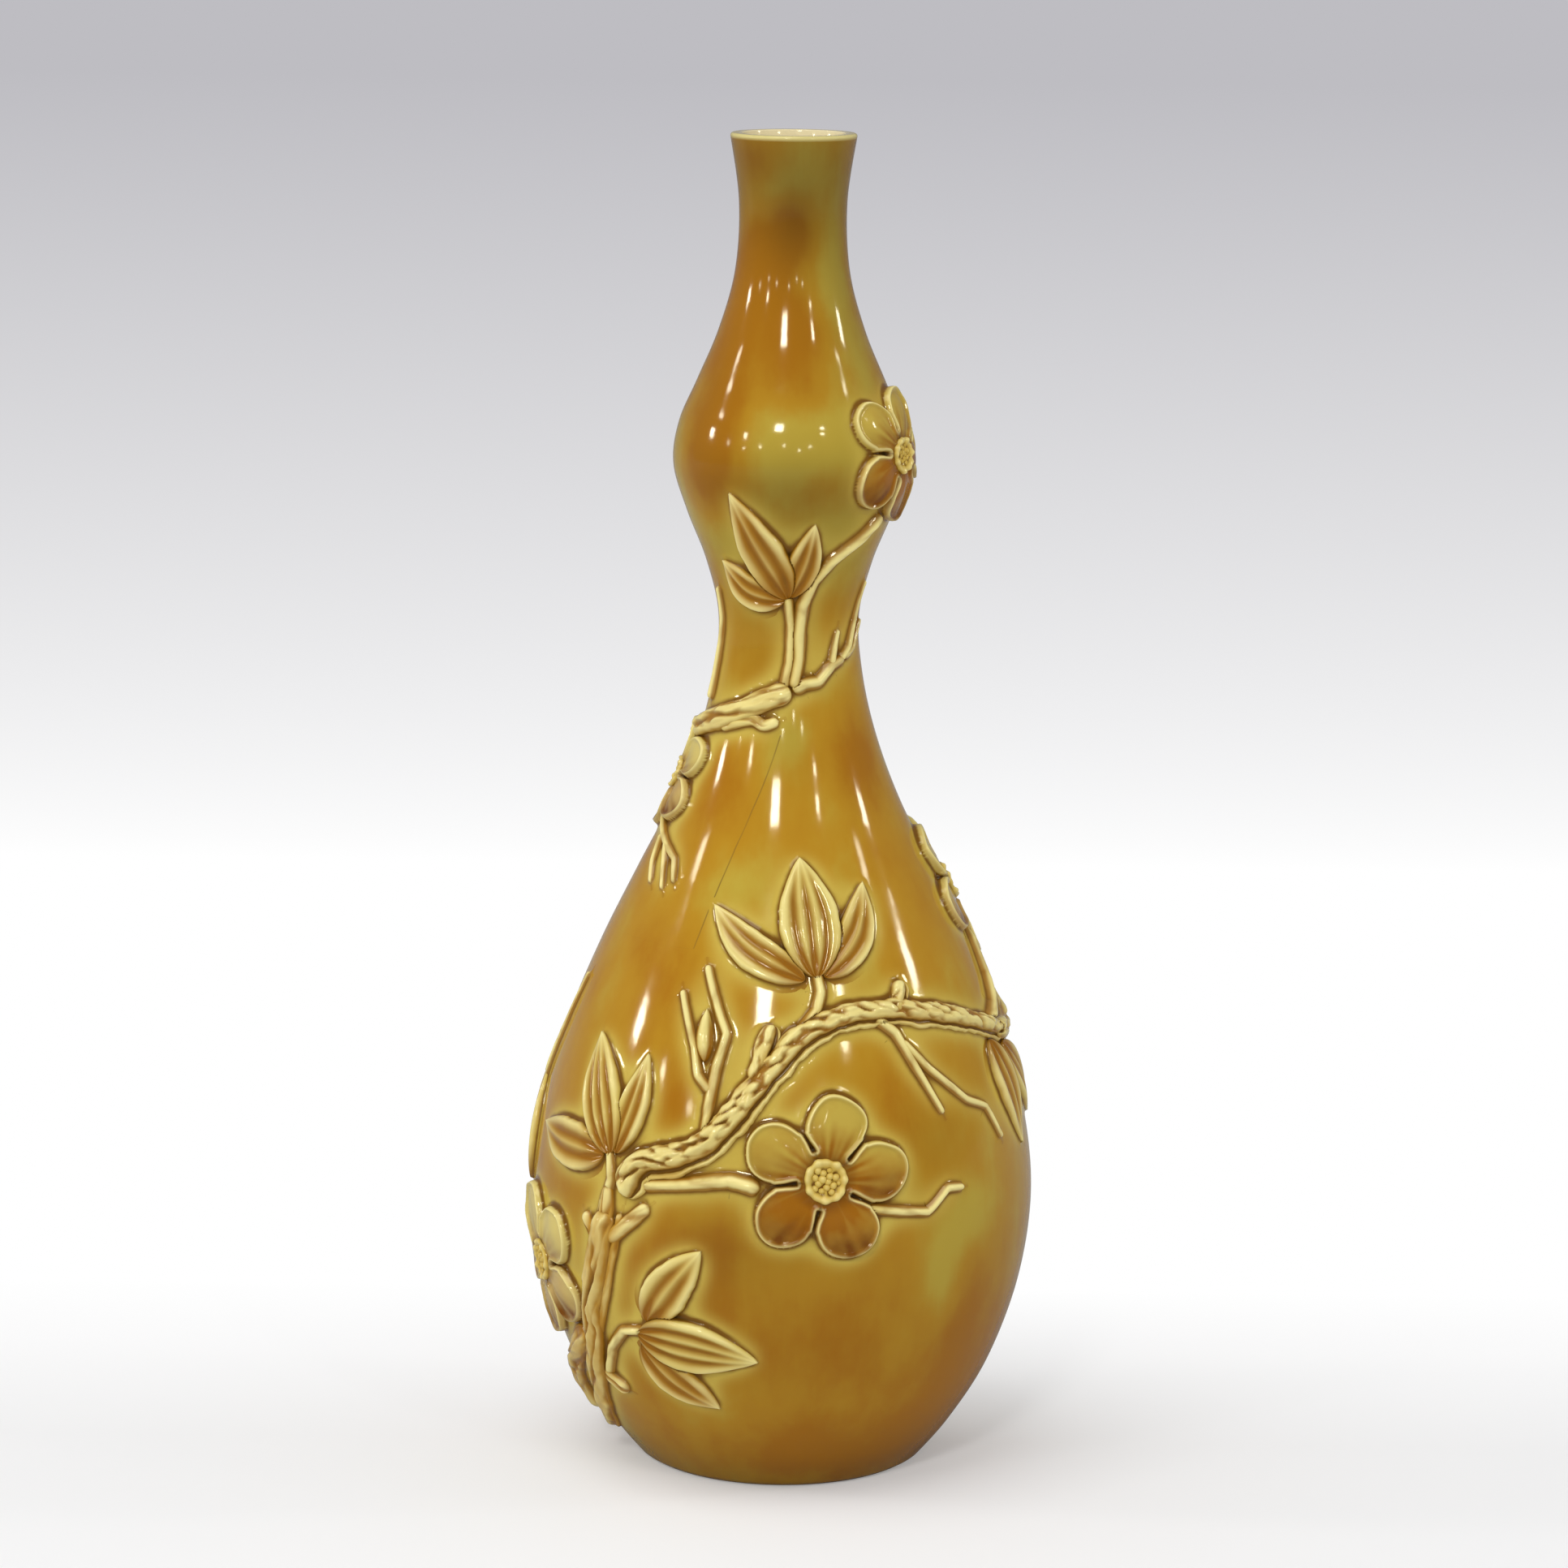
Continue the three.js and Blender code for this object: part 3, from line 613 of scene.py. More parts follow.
@dataclass(frozen=True)
class StripStyle:
    """How a strip of clay is modelled."""

    form: SectionForm
    columns: int
    bark_depth: float = 0.0
    bark_length: float = 11.0
    bark_width: float = 4.2
    bark_slant: float = 0.6
    waviness: float = 0.0
    wave_length: float = 9.0
    slimness: float = 1.0
    rise: float = 0.72
    kink: float = 0.2
    tint: float = 0.5
    veins: tuple[float, ...] = ()
    vein_width: float = 0.15

    def crown(self, across: np.ndarray) -> tuple[np.ndarray, np.ndarray, np.ndarray]:
        """Height of the section as a share of its rise, the veins in it, and how much bark it takes."""
        size = np.minimum(np.abs(across), 1)
        if self.form is SectionForm.KEELED:
            bark = KEEL_BARK * eased(*KEEL_BARK_EDGE, size)
            return 1 - size**KEEL_POWER, KEEL_GLAZE * eased(*KEEL_FLANK, size), bark
        if self.form is SectionForm.GNARLED:
            log = log_top(size)
            return log, LOG_GLAZE * eased(*LOG_FLANK, size), eased(*LOG_BARK_EDGE, log)
        if self.form is SectionForm.LEDGED:
            log, ledge, trough = ((across - middle) / half for middle, half in (LEDGED_LOG, LEDGE, TROUGH))
            log = log_top(log)
            ledge = LEDGE_RISE * np.clip(1 - ledge**2, 0, 1)
            veins = notch(trough, 1.0) + LOG_GLAZE * eased(*LEDGED_FLANK, across)
            return np.maximum(log, ledge), LEDGED_GLAZE * veins, eased(*LEDGED_BARK_EDGE, log)
        inner, width = LEAF_EDGE
        edge = (1 - np.clip((size - inner) / width, 0, 1) ** LEAF_EDGE_POWER) ** LEAF_EDGE_ROUND
        cut = 0 * size
        for vein in self.veins:
            cut = np.maximum(cut, notch(across - vein, self.vein_width))
        return edge * (1 - VEIN_DEPTH * cut), cut, 0 * size

    @cached_property
    def section(self) -> bpy.types.Object:
        """Closed section: over the top from side to side, with the skirts of glaze, and back under."""
        over = np.sin(np.linspace(-math.pi / 2, math.pi / 2, self.columns)) * (1 - EVEN_SHARE)
        over += np.linspace(-EVEN_SHARE, EVEN_SHARE, self.columns)
        blank = np.zeros(len(APRON))
        across = np.concatenate([blank - 1, over, blank + 1, np.sign(UNDER)])
        skirt = np.concatenate([-APRON, 0 * over, APRON[::-1], UNDER])
        carved, veins, barky = self.crown(across)
        dome = (1 - np.minimum(np.abs(across), 1) ** LOG_POWER) ** DOME_ROUND
        buried = np.concatenate([np.zeros(len(across) - len(UNDER)), np.ones(len(UNDER))])
        points = np.column_stack([across + skirt, -buried, 0 * across])
        lasting = (1 - buried) * np.exp(-np.abs(skirt) / GROOVE_FADE)
        mesh = plain_mesh(
            "section", points, chain(len(points), True), across=across, skirt=skirt, under=buried,
            dome=dome * (1 - buried), carved=carved * (1 - buried), veins=veins * lasting, barky=barky,
        )
        return bpy.data.objects.new("section", mesh)

    def inputs(self) -> dict[str, object]:
        """Inputs of the strip tree."""
        return {
            "Section": self.section, "Bark_depth": self.bark_depth, "Bark_length": self.bark_length * MM,
            "Bark_width": self.bark_width * MM, "Bark_slant": self.bark_slant, "Waviness": self.waviness,
            "Wave_length": self.wave_length * MM, "Girth": GIRTH,
        }


LEAF_STYLE = StripStyle(SectionForm.VEINED, 65, waviness=0.1, wave_length=7.0, veins=(-0.46, 0.03, 0.5))
SIDE_LEAF_STYLE = StripStyle(
    SectionForm.VEINED, 57, waviness=0.12, wave_length=6.0, veins=(-0.36, 0.28), vein_width=0.23,
)
BUD_STYLE = StripStyle(SectionForm.KEELED, 25)
TWIG_STYLE = StripStyle(
    SectionForm.KEELED, 21, bark_depth=0.25, bark_length=6.0, bark_width=3.0, waviness=0.22, wave_length=5.0,
    slimness=0.95, rise=0.92, kink=0.8, tint=0.3,
)
TRUNK_STYLE = StripStyle(
    SectionForm.GNARLED, 45, bark_depth=0.4, bark_length=11.0, bark_width=2.4, bark_slant=0.6, waviness=0.34,
    wave_length=7.0, tint=0.95,
)
BRANCH_STYLE = StripStyle(
    SectionForm.GNARLED, 37, bark_depth=0.42, bark_length=7.0, bark_width=2.3, bark_slant=0.5, waviness=0.34,
    wave_length=7.0, tint=0.35,
)
BOUGH_STYLE = StripStyle(
    SectionForm.LEDGED, 53, bark_depth=0.46, bark_length=3.2, bark_width=1.9, bark_slant=0.6, waviness=0.4,
    wave_length=5.0, tint=0.4,
)


FEWEST_STEPS = 6


@dataclass(frozen=True)
class ChartPath:
    """A smooth way on the chart."""

    azimuth: np.ndarray
    arc: np.ndarray
    along: np.ndarray

    @classmethod
    def through(cls, wall: Wall, spots: tuple[Spot, ...], step: float, kink: float) -> "ChartPath":
        """Lay a path through spots in even steps.

        Args:
            wall: the wall that it lies on.
            spots: azimuth in degrees and height in millimetres.
            step: distance between samples in metres.
            kink: 0 for a smooth bend at each spot, 1 for a sharp one.

        Returns:
            The path.
        """
        places = np.array([(math.radians(azimuth), wall.arc_at(height * MM)) for azimuth, height in spots])
        bent = smooth_through(places, CURVE_STEPS)
        share = np.linspace(0, len(places) - 1, len(bent))
        straight = np.column_stack([np.interp(share, np.arange(len(places)), column) for column in places.T])
        return cls.even(wall, kink * straight + (1 - kink) * bent, step)

    @classmethod
    def even(cls, wall: Wall, places: np.ndarray, step: float) -> "ChartPath":
        """Sample rows of azimuth and distance up the wall in even steps."""
        middle = wall.radius_at((places[1:, 1] + places[:-1, 1]) / 2)
        turns, climbs = np.diff(places, axis=0).T
        length = np.concatenate([[0], np.cumsum(np.hypot(turns * middle, climbs))])
        count = max(FEWEST_STEPS, round(length[-1] / step))
        along = np.linspace(0, length[-1], count + 1)
        return cls(np.interp(along, length, places[:, 0]), np.interp(along, length, places[:, 1]), along)


BEYOND_SHARES = np.array([1.0, 0.94, 0.78, 0.55, 0.3, 0.12])


def rail(
    wall: Wall, path: ChartPath, half: np.ndarray, rise: np.ndarray, carve: np.ndarray, shade: np.ndarray,
    strand: float,
) -> dict[str, np.ndarray]:
    """Work out what the strip tree needs along a path, with the skirt past both ends.

    Args:
        wall: the wall that it lies on.
        path: the way of the strip.
        half: half width at each sample of the path, in metres.
        rise: rise at each sample, in metres.
        carve: how deep the veins are cut, from 0 to 1.
        shade: how much glaze lies over the whole width, from 0 to 1.
        strand: a number that sets this strip's bark apart from others.

    Returns:
        One list of values for each name.
    """
    radius = wall.radius_at(path.arc)
    ahead = np.gradient(path.azimuth) * radius
    climb = np.gradient(path.arc)
    size = np.hypot(ahead, climb)
    ahead, climb = ahead / size, climb / size
    past = BEYOND_SHARES * SKIRT * MM
    lead = {"start": (0, -past), "end": (-1, past[::-1])}

    def ended(values: np.ndarray, slope: np.ndarray | None = None) -> np.ndarray:
        """Carry values on past both ends, along a slope or level."""
        ends = {
            name: values[at] + (slope[at] * distance if slope is not None else 0 * distance)
            for name, (at, distance) in lead.items()
        }
        return np.concatenate([ends["start"], values, ends["end"]])

    inside = np.zeros(len(path.arc))
    beyond = np.concatenate([past, inside, past[::-1]])
    ease = np.concatenate([past * 0, inside + 1, past * 0])
    return {
        "azimuth": ended(path.azimuth, ahead / radius),
        "arc": ended(path.arc, climb),
        "side_azimuth": ended(-climb / radius),
        "side_arc": ended(ahead),
        "half": ended(half) * ease,
        "rise": ended(rise) * ease,
        "carve": ended(carve),
        "shade": ended(shade),
        "beyond": beyond,
        "skirt_share": np.sqrt(np.clip(1 - (beyond / (SKIRT * MM)) ** 2, 0, 1)),
        "along": ended(path.along, np.ones(len(path.along))),
        "strand": np.full(len(beyond), strand),
    }


@dataclass
class Workshop:
    """The wall, the trees and the glazes that every piece is made with."""

    wall: Wall
    glazes: dict[Slot, bpy.types.Material]
    guide: bpy.types.Object = field(init=False)
    turned: bpy.types.NodeTree = field(init=False)
    strip: bpy.types.NodeTree = field(init=False)
    petals: bpy.types.NodeTree = field(init=False)
    stamens: bpy.types.NodeTree = field(init=False)
    wrap: bpy.types.NodeTree = field(init=False)

    def __post_init__(self) -> None:
        """Build the guide and the trees."""
        self.guide = self.wall.guide()
        self.turned = turned_tree()
        self.strip = strip_tree()
        self.petals = petal_tree()
        self.stamens = stamen_tree()
        self.wrap = wrap_tree()

    def laid(self, rails: list[dict], style: StripStyle, slot: Slot) -> bpy.types.Mesh:
        """Lay strips along rails on the chart, as one mesh."""
        fields = {name: np.concatenate([each[name] for each in rails]) for name in rails[0]}
        points = np.column_stack([fields["azimuth"] * GIRTH, fields["arc"], 0 * fields["arc"]])
        edges, start = [], 0
        for each in rails:
            count = len(each["arc"])
            edges += [(start + a, start + b) for a, b in chain(count)]
            start += count
        mesh = plain_mesh("rail", points, edges, **fields)
        return grown(self.strip, mesh, Material=self.glazes[slot], **style.inputs())

    def placed(self, name: str, mesh: bpy.types.Mesh, slot: Slot, *nodes: str) -> bpy.types.Object:
        """Put a finished mesh in the scene in place of its solids.

        Args:
            name: name of the piece.
            mesh: its mesh, in place.
            slot: not used.
            nodes: the solids that it stands for.

        Returns:
            The piece.
        """
        mesh.name = name
        piece = bpy.data.objects.new(name, faced_out(mesh))
        bpy.context.scene.collection.objects.link(piece)
        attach(piece, BODY)
        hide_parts(*nodes)
        LOG.info("%s: %d faces", name, len(mesh.polygons))
        return piece


@dataclass
class Sprig:
    """A sprig of clay on the wall."""

    name: str

    slot: ClassVar[Slot] = Slot.BARK

    def on_chart(self, shop: Workshop) -> bpy.types.Mesh:
        """Lay the sprig out on the chart."""
        raise NotImplementedError


STRAND_STEP = 0.5 * MM
# Numbers that set the bark of one branch, and of one strand, apart from the next.
BARK_SEEDS = 97
BARK_SHIFT = 3.7


@dataclass(frozen=True)
class Strand:
    """One rolled length of a branch, with its width at both ends."""

    path: tuple[Spot, ...]
    width: Spot

    def rail(self, wall: Wall, number: float, style: StripStyle) -> dict:
        """What the strip tree needs along this strand."""
        path = ChartPath.through(wall, self.path, STRAND_STEP, style.kink)
        total = path.along[-1]
        full = np.interp(path.along, [0, total], np.array(self.width) * MM / 2 * style.slimness)
        to_end = np.minimum(path.along, total - path.along)
        rounding = np.sqrt(np.clip(1 - np.clip(1 - to_end / full, 0, 1) ** 2, 0, 1))
        half = full * rounding
        return rail(wall, path, half, style.rise * half, np.ones_like(half), np.zeros_like(half), number)


@dataclass
class Branch(Sprig):
    """A branch, stem or twig of one or more strands."""

    strands: tuple[Strand, ...]
    style: StripStyle = TWIG_STYLE

    @property
    def tint(self) -> float:
        """How amber its glaze is."""
        return self.style.tint

    def on_chart(self, shop: Workshop) -> bpy.types.Mesh:
        """Lay every strand along its path."""
        seed = sum(ord(letter) for letter in self.name) % BARK_SEEDS
        rails = [
            strand.rail(shop.wall, seed + BARK_SHIFT * i, self.style) for i, strand in enumerate(self.strands)
        ]
        return shop.laid(rails, self.style, self.slot)


LEAF_FULLNESS = 0.78
LEAF_RISE = 1.75
LEAF_STEPS = 56
LEAF_END_RISE = 0.35
LEAF_TIP = (0.97, 0.6)
LEAF_TIP_CARVE = 0.1
LEAF_BASE = 0.32
LEAF_BASE_SHADE = 0.85


@dataclass
class Leaf(Sprig):
    """A pressed leaf from its base to its tip; the belly is how far its middle bows to the left."""

    base: Spot
    tip: Spot
    width: float
    belly: float
    tint: float = 0.5
    lift: float = 1.0
    style: StripStyle = SIDE_LEAF_STYLE

    slot: ClassVar[Slot] = Slot.LEAF

    def on_chart(self, shop: Workshop) -> bpy.types.Mesh:
        """Lay the leaf along its midrib."""
        wall = shop.wall
        ends = np.array([(math.radians(a), wall.arc_at(h * MM)) for a, h in (self.base, self.tip)])
        middle = ends.mean(axis=0)
        radius = wall.radius_at(middle[1])
        way = (ends[1] - ends[0]) * (radius, 1)
        length = np.hypot(*way)
        aside = np.array([-way[1] / radius, way[0]]) / length
        bowed = middle + self.belly * MM * aside
        midrib = smooth_through(np.array([ends[0], bowed, ends[1]]), CURVE_STEPS)
        path = ChartPath.even(wall, midrib, length / LEAF_STEPS)
        share = path.along / path.along[-1]
        swell = np.sin(math.pi * share**LEAF_FULLNESS)
        half = self.width * MM / 2 * np.clip(swell, 0, 1) ** LEAF_FULLNESS
        rise = LEAF_RISE * MM * self.lift * (LEAF_END_RISE + (1 - LEAF_END_RISE) * swell)
        carve = LEAF_TIP_CARVE + (1 - LEAF_TIP_CARVE) * eased(*LEAF_TIP, share)
        shade = LEAF_BASE_SHADE * eased(LEAF_BASE, 0.0, share)
        way_up = rail(wall, path, half, rise, carve, shade, len(self.name))
        return shop.laid([way_up], self.style, self.slot)


PETALS = 5
HALF_SECTOR = math.pi / PETALS
PETAL_COLUMNS = 81
PETAL_GRAIN = 0.33
PETAL_FIT = 0.975
SKIRT_ROWS = 14
CORE_SHARES = np.array([0.98, 0.4, 0.0])
COROLLA_RISE = 1.9
RIM = 0.8
RIM_LINE = 0.32
RIM_CREST = 0.8
ROLL_POWER = 0.8
CUP_EDGE = (0.7, 1.7)
CUP_DEPTH = 0.34
CUP_HEART = 0.8
CUP_SWELL = 0.1
FOOT_START = 1.8
FOOT_DIP = 0.2 * MM
SLIT = 0.3
SLIT_END = 0.12
SLIT_TAPER = 0.8
SLIT_BELL = 0.7
MIDDLE_SHARE = 0.56
OUTLINE_SIDES = 480
OUTLINE_STEP = 0.08
OUTLINE_SLACK = 0.01
# Strength, number and start of the strokes of glaze round the heart of a blossom.
STROKES = ((0.25, 19, 0.7), (0.2, 31, 2.1))
STROKE_LEVEL = 0.55
# Where glaze lies on a blossom, from where it starts to where it is full: the first two as shares of a
# petal's radius, the next two of the petals' reach, the last of the disc's radius.
LOW_IN_PETAL = (-0.5, 0.9)
IN_CUP = (1.0, 0.75)
BELOW_HEART = (0.8, -0.8)
NEAR_HEART = (1.25, 0.55)
NEAR_DISC = (1.7, 1.05)
# How amber a petal is at least, and how much more so below the heart and near it.
PETAL_AMBER = 0.05
AMBER_BELOW = 0.75
AMBER_NEAR = 0.75
# How much glaze settles above the heart, how much more below it, by the strokes, and round the disc.
SETTLED_ABOVE = 0.25
SETTLED_BELOW = 0.75
SETTLED_STROKES = 0.6
SETTLED_RING = 0.6
# Reach of each ring as a share of the disc's, and height.
DISC_PROFILE: tuple[Spot, ...] = (
    (0.2, 1.8), (0.42, 1.8), (0.56, 1.85), (0.64, 2.05), (0.72, 2.4), (0.8, 2.6), (0.87, 2.6), (0.93, 2.35),
    (0.97, 1.95), (1.0, 1.4), (1.0, 0.4), (0.5, 0.4),
)
DISC_SIDES = 64
# Depth, number and start of the lumps round the border of a disc.
DISC_LUMPS = ((0.07, 7, 1), (0.06, 12, 2))
DISC_LUMP_REACH = 0.3
STAMEN_COUNT = 15
STAMEN_SEED = 5
STAMEN_SPREAD = 0.6
STAMEN_HEAD = 0.17
STAMEN_TOP = 1.6


def turning(angle: float) -> np.ndarray:
    """Matrix that turns rows of flat points by an angle in radians."""
    return np.array([[math.cos(angle), math.sin(angle)], [-math.sin(angle), math.cos(angle)]])


def disc_mesh(reaches: np.ndarray, heights: np.ndarray) -> bpy.types.Mesh:
    """Close a disc over rings about the origin.

    Args:
        reaches: distance from the middle, a ring to a row, from the middle outwards and back under.
        heights: height of each of those points.

    Returns:
        The mesh.
    """
    rings, sides = reaches.shape
    turn = np.arange(sides) * math.tau / sides
    points = np.stack([reaches * np.cos(turn), reaches * np.sin(turn), heights], axis=-1).reshape(-1, 3)
    poles = np.array([[0, 0, heights[0].mean()], [0, 0, heights[-1].mean()]])
    top, bottom = rings * sides, rings * sides + 1
    last = (rings - 1) * sides
    faces = []
    for k in range(sides):
        after = (k + 1) % sides
        faces.append((top, k, after))
        faces.append((bottom, last + after, last + k))
        for ring in range(0, last, sides):
            outer = ring + sides
            faces.append((ring + k, outer + k, outer + after, ring + after))
    return plain_mesh("disc", np.vstack([points, poles]), faces=faces)


@dataclass
class Blossom:
    """A five-petalled blossom: its place, turn and sizes, and how thin the glaze is all over it."""

    name: str
    centre: Spot
    turn: float
    reach: float
    petal: float
    disc: float
    pale: float = 0.0

    def spot(self, wall: Wall) -> dict[str, float]:
        """Where the chart trees set the blossom."""
        azimuth, height = self.centre
        arc = float(wall.arc_at(height * MM))
        return {"Centre_azimuth": math.radians(azimuth), "Centre_arc": arc, "Girth": GIRTH}

    def hearts(self) -> list[np.ndarray]:
        """Middles of the petals, as they are turned."""
        first = np.array([self.reach, 0.0]) @ turning(math.radians(self.turn))
        return [first @ turning(math.tau * i / PETALS) for i in range(PETALS)]

    @property
    def size(self) -> float:
        """Radius of a petal."""
        return self.petal * PETAL_FIT

    @property
    def middle(self) -> float:
        """Radius of the low middle that joins the petals."""
        return self.reach * MIDDLE_SHARE

    def slit(self, reach: np.ndarray) -> np.ndarray:
        """Half width of the slit between two petals, which narrows outwards like a drop."""
        bell = eased(self.reach * SLIT_TAPER, self.middle + SLIT_BELL, reach)
        return SLIT_END + (SLIT - SLIT_END) * bell

    def outside(self, spots: np.ndarray) -> np.ndarray:
        """How far spots lie outside the first petal, the claw that ties it to the middle, and the middle."""
        x, y = spots[..., 0], spots[..., 1]
        reach = np.hypot(x, y)
        to_slit = x * math.sin(HALF_SECTOR) - np.abs(y) * math.cos(HALF_SECTOR)
        claw = np.maximum(self.slit(reach) - to_slit, reach - self.reach)
        petal = np.hypot(x - self.reach, y) - self.size
        return np.minimum(np.minimum(petal, claw), reach - self.middle)

    def outline(self) -> np.ndarray:
        """Points along the outer edge of the petals and round the slits between them."""
        turn = np.linspace(0, math.tau, OUTLINE_SIDES, endpoint=False)
        ring = np.column_stack([np.cos(turn), np.sin(turn)])
        out = np.arange(self.middle, self.reach, OUTLINE_STEP)
        way = np.array([math.cos(HALF_SECTOR), math.sin(HALF_SECTOR)])
        slit = out[:, None] * way + self.slit(out)[:, None] * (way[1], -way[0])
        gap = self.middle * ring[np.abs(turn - HALF_SECTOR) < SLIT / self.middle]
        edges = [(self.reach, 0) + self.size * ring, slit, slit * (1, -1), gap]
        petal = np.vstack([line[self.outside(line) > -OUTLINE_SLACK] for line in edges])
        return np.vstack([petal @ turning(math.tau * i / PETALS) for i in range(PETALS)])

    def away(self, spots: np.ndarray) -> np.ndarray:
        """Distance of spots from the outline."""
        return np.linalg.norm(spots[..., None, :] - self.outline(), axis=-1).min(axis=-1)

    def proud(self, spots: np.ndarray) -> np.ndarray:
        """Height of the corolla: a rolled rim, a shallow cup in it, and glaze that fills the foot outside."""
        away = self.away(spots)
        roll = np.sin(np.clip(away / RIM, 0, 1) * math.pi / 2) ** ROLL_POWER
        cup = 1 - CUP_DEPTH * eased(*CUP_EDGE, away)
        cup += CUP_SWELL * eased(CUP_EDGE[1], self.petal * CUP_HEART, away)
        fillet = FILLET_RISE * np.exp(-away * MM / FILLET_FALL) - FILLET_SINK
        foot = fillet - FOOT_DIP * eased(FOOT_START, SKIRT, away)
        return np.where(self.outside(spots) < 0, COROLLA_RISE * MM * roll * cup + FILLET_RISE, foot)

    def sector(self) -> bpy.types.Mesh:
        """One fifth of the corolla, with its petal along +X, and its underside."""
        full = self.reach + self.size
        turn = np.linspace(-HALF_SECTOR, HALF_SECTOR, PETAL_COLUMNS)
        ring = np.column_stack([np.cos(turn), np.sin(turn)])
        chord = np.sqrt(np.clip(self.size**2 - (self.reach * ring[:, 1]) ** 2, 0, None))
        edge = self.reach * ring[:, 0] + chord
        inner = np.linspace(0, 1, round(full / PETAL_GRAIN) + 1)[:, None]
        outer = np.linspace(0, 1, SKIRT_ROWS + 1)[1:, None]
        under = CORE_SHARES[:, None] * (full + SKIRT) * np.ones(PETAL_COLUMNS)
        reach = np.vstack([inner * edge, edge + outer * (full + SKIRT - edge)])
        over = reach[..., None] * ring
        blank = np.zeros((len(under), PETAL_COLUMNS))
        heights = np.vstack([self.proud(over), blank - UNDER_DEPTH])
        crest = notch(self.away(over) - RIM_CREST * RIM, RIM_LINE)
        rim = np.maximum(crest, self.pale) * (self.outside(over) < 0)
        spots = np.vstack([reach, under])[..., None] * ring * MM
        points = np.concatenate([spots, heights[..., None]], axis=-1).reshape(-1, 3)
        rows, step = range(len(heights) - 1), PETAL_COLUMNS
        faces = [
            (r * step + k, (r + 1) * step + k, (r + 1) * step + k + 1, r * step + k + 1)
            for r in rows for k in range(step - 1)
        ]
        return plain_mesh("petal", points, faces=faces, rim=np.vstack([rim, blank]).ravel())

    def corolla(self, shop: Workshop) -> bpy.types.Mesh:
        """Lay the five petals on the chart."""
        return grown(
            shop.petals, self.sector(), Wall=shop.guide, Count=PETALS, Turn=math.radians(self.turn),
            Material=shop.glazes[Slot.PETAL], **self.spot(shop.wall),
        )

    def glazing(self, wall: Wall, points: np.ndarray) -> tuple[np.ndarray, np.ndarray]:
        """How amber the petals are, and how much glaze has settled in them, at points on the chart."""
        azimuth, height = self.centre
        x = (points[:, 0] / GIRTH - math.radians(azimuth)) * wall.radius_at(points[:, 1])
        y = points[:, 1] - wall.arc_at(height * MM)
        spots = np.column_stack([x, y]) / MM
        hearts = self.hearts()
        away = np.array([np.linalg.norm(spots - heart, axis=1) for heart in hearts]) / self.size
        nearest = np.argmin(away, axis=0)
        drop = np.array([-(spots - heart)[:, 1] for heart in hearts]) / self.size
        low = eased(*LOW_IN_PETAL, np.take_along_axis(drop, nearest[None], 0)[0])
        cup = eased(*IN_CUP, away.min(axis=0))
        reach = np.hypot(*spots.T)
        around = np.arctan2(spots[:, 1], spots[:, 0])
        waves = [strength * np.sin(count * around + start) for strength, count, start in STROKES]
        strokes = sum(waves, STROKE_LEVEL)
        below = eased(*BELOW_HEART, spots[:, 1] / self.reach)
        near = eased(*NEAR_HEART, reach / self.reach)
        ring = eased(*NEAR_DISC, reach / self.disc)
        tint = PETAL_AMBER + AMBER_BELOW * below + AMBER_NEAR * near * strokes
        uneven = SETTLED_STROKES + SETTLED_STROKES * strokes
        settled = low * cup * (SETTLED_ABOVE + SETTLED_BELOW * below) * uneven
        return tint, np.maximum(settled, SETTLED_RING * ring)

    def stamens(self, shop: Workshop) -> bpy.types.Mesh:
        """Lay the bordered disc and its stamen heads on the chart."""
        shares, heights = np.array(DISC_PROFILE).T
        turn = np.arange(DISC_SIDES) * math.tau / DISC_SIDES
        lumps = sum((depth * np.sin(count * turn + start) for depth, count, start in DISC_LUMPS), 1)
        reaches = shares[:, None] * self.disc * MM * (1 + DISC_LUMP_REACH * (lumps - 1))
        return grown(
            shop.stamens, disc_mesh(reaches, heights[:, None] * MM * lumps), Wall=shop.guide,
            Count=STAMEN_COUNT, Seed=STAMEN_SEED, Spread=STAMEN_SPREAD * self.disc * MM,
            Head=STAMEN_HEAD * self.disc * MM, Top=STAMEN_TOP * MM, Material=shop.glazes[Slot.STAMEN],
            **self.spot(shop.wall),
        )


TUCK_RISE = 0.9 * MM
TUCK_GAP = 0.2 * MM


@dataclass
class Relief:
    """A sprig's mesh on the chart, with the piece that it becomes."""

    name: str
    slot: Slot
    mesh: bpy.types.Mesh
    tint: np.ndarray | float = 0.5
    settled: np.ndarray | float = 0.0

    @cached_property
    def box(self) -> np.ndarray:
        """Lowest and highest corner on the chart."""
        points = points_of(self.mesh)
        return np.array([points.min(axis=0), points.max(axis=0)])

    @cached_property
    def tree(self) -> BVHTree:
        """Search tree of the mesh."""
        return tree_of(self.mesh)

    def tucked(self, over: "Relief") -> None:
        """Press this sprig down where another is laid over it."""
        points = points_of(self.mesh)
        low, high = over.box
        inside = np.all((points[:, :2] > low[:2]) & (points[:, :2] < high[:2]), axis=1)
        for i in np.flatnonzero(inside):
            x, y, proud = points[i]
            spot = over.tree.ray_cast((x, y, RAY_START), STRAIGHT_DOWN)[0]
            if spot is not None and spot.z > TUCK_RISE and proud > spot.z - TUCK_GAP:
                points[i, 2] = spot.z - 2 * TUCK_GAP
        self.mesh.vertices.foreach_set("co", points.ravel())


CELL = 0.35 * MM
COLUMNS = 1152
# Cells round a point that the faces beside it may cover.
NEIGHBOURS = [(row, column) for row in range(-2, 3) for column in range(-6, 7)]
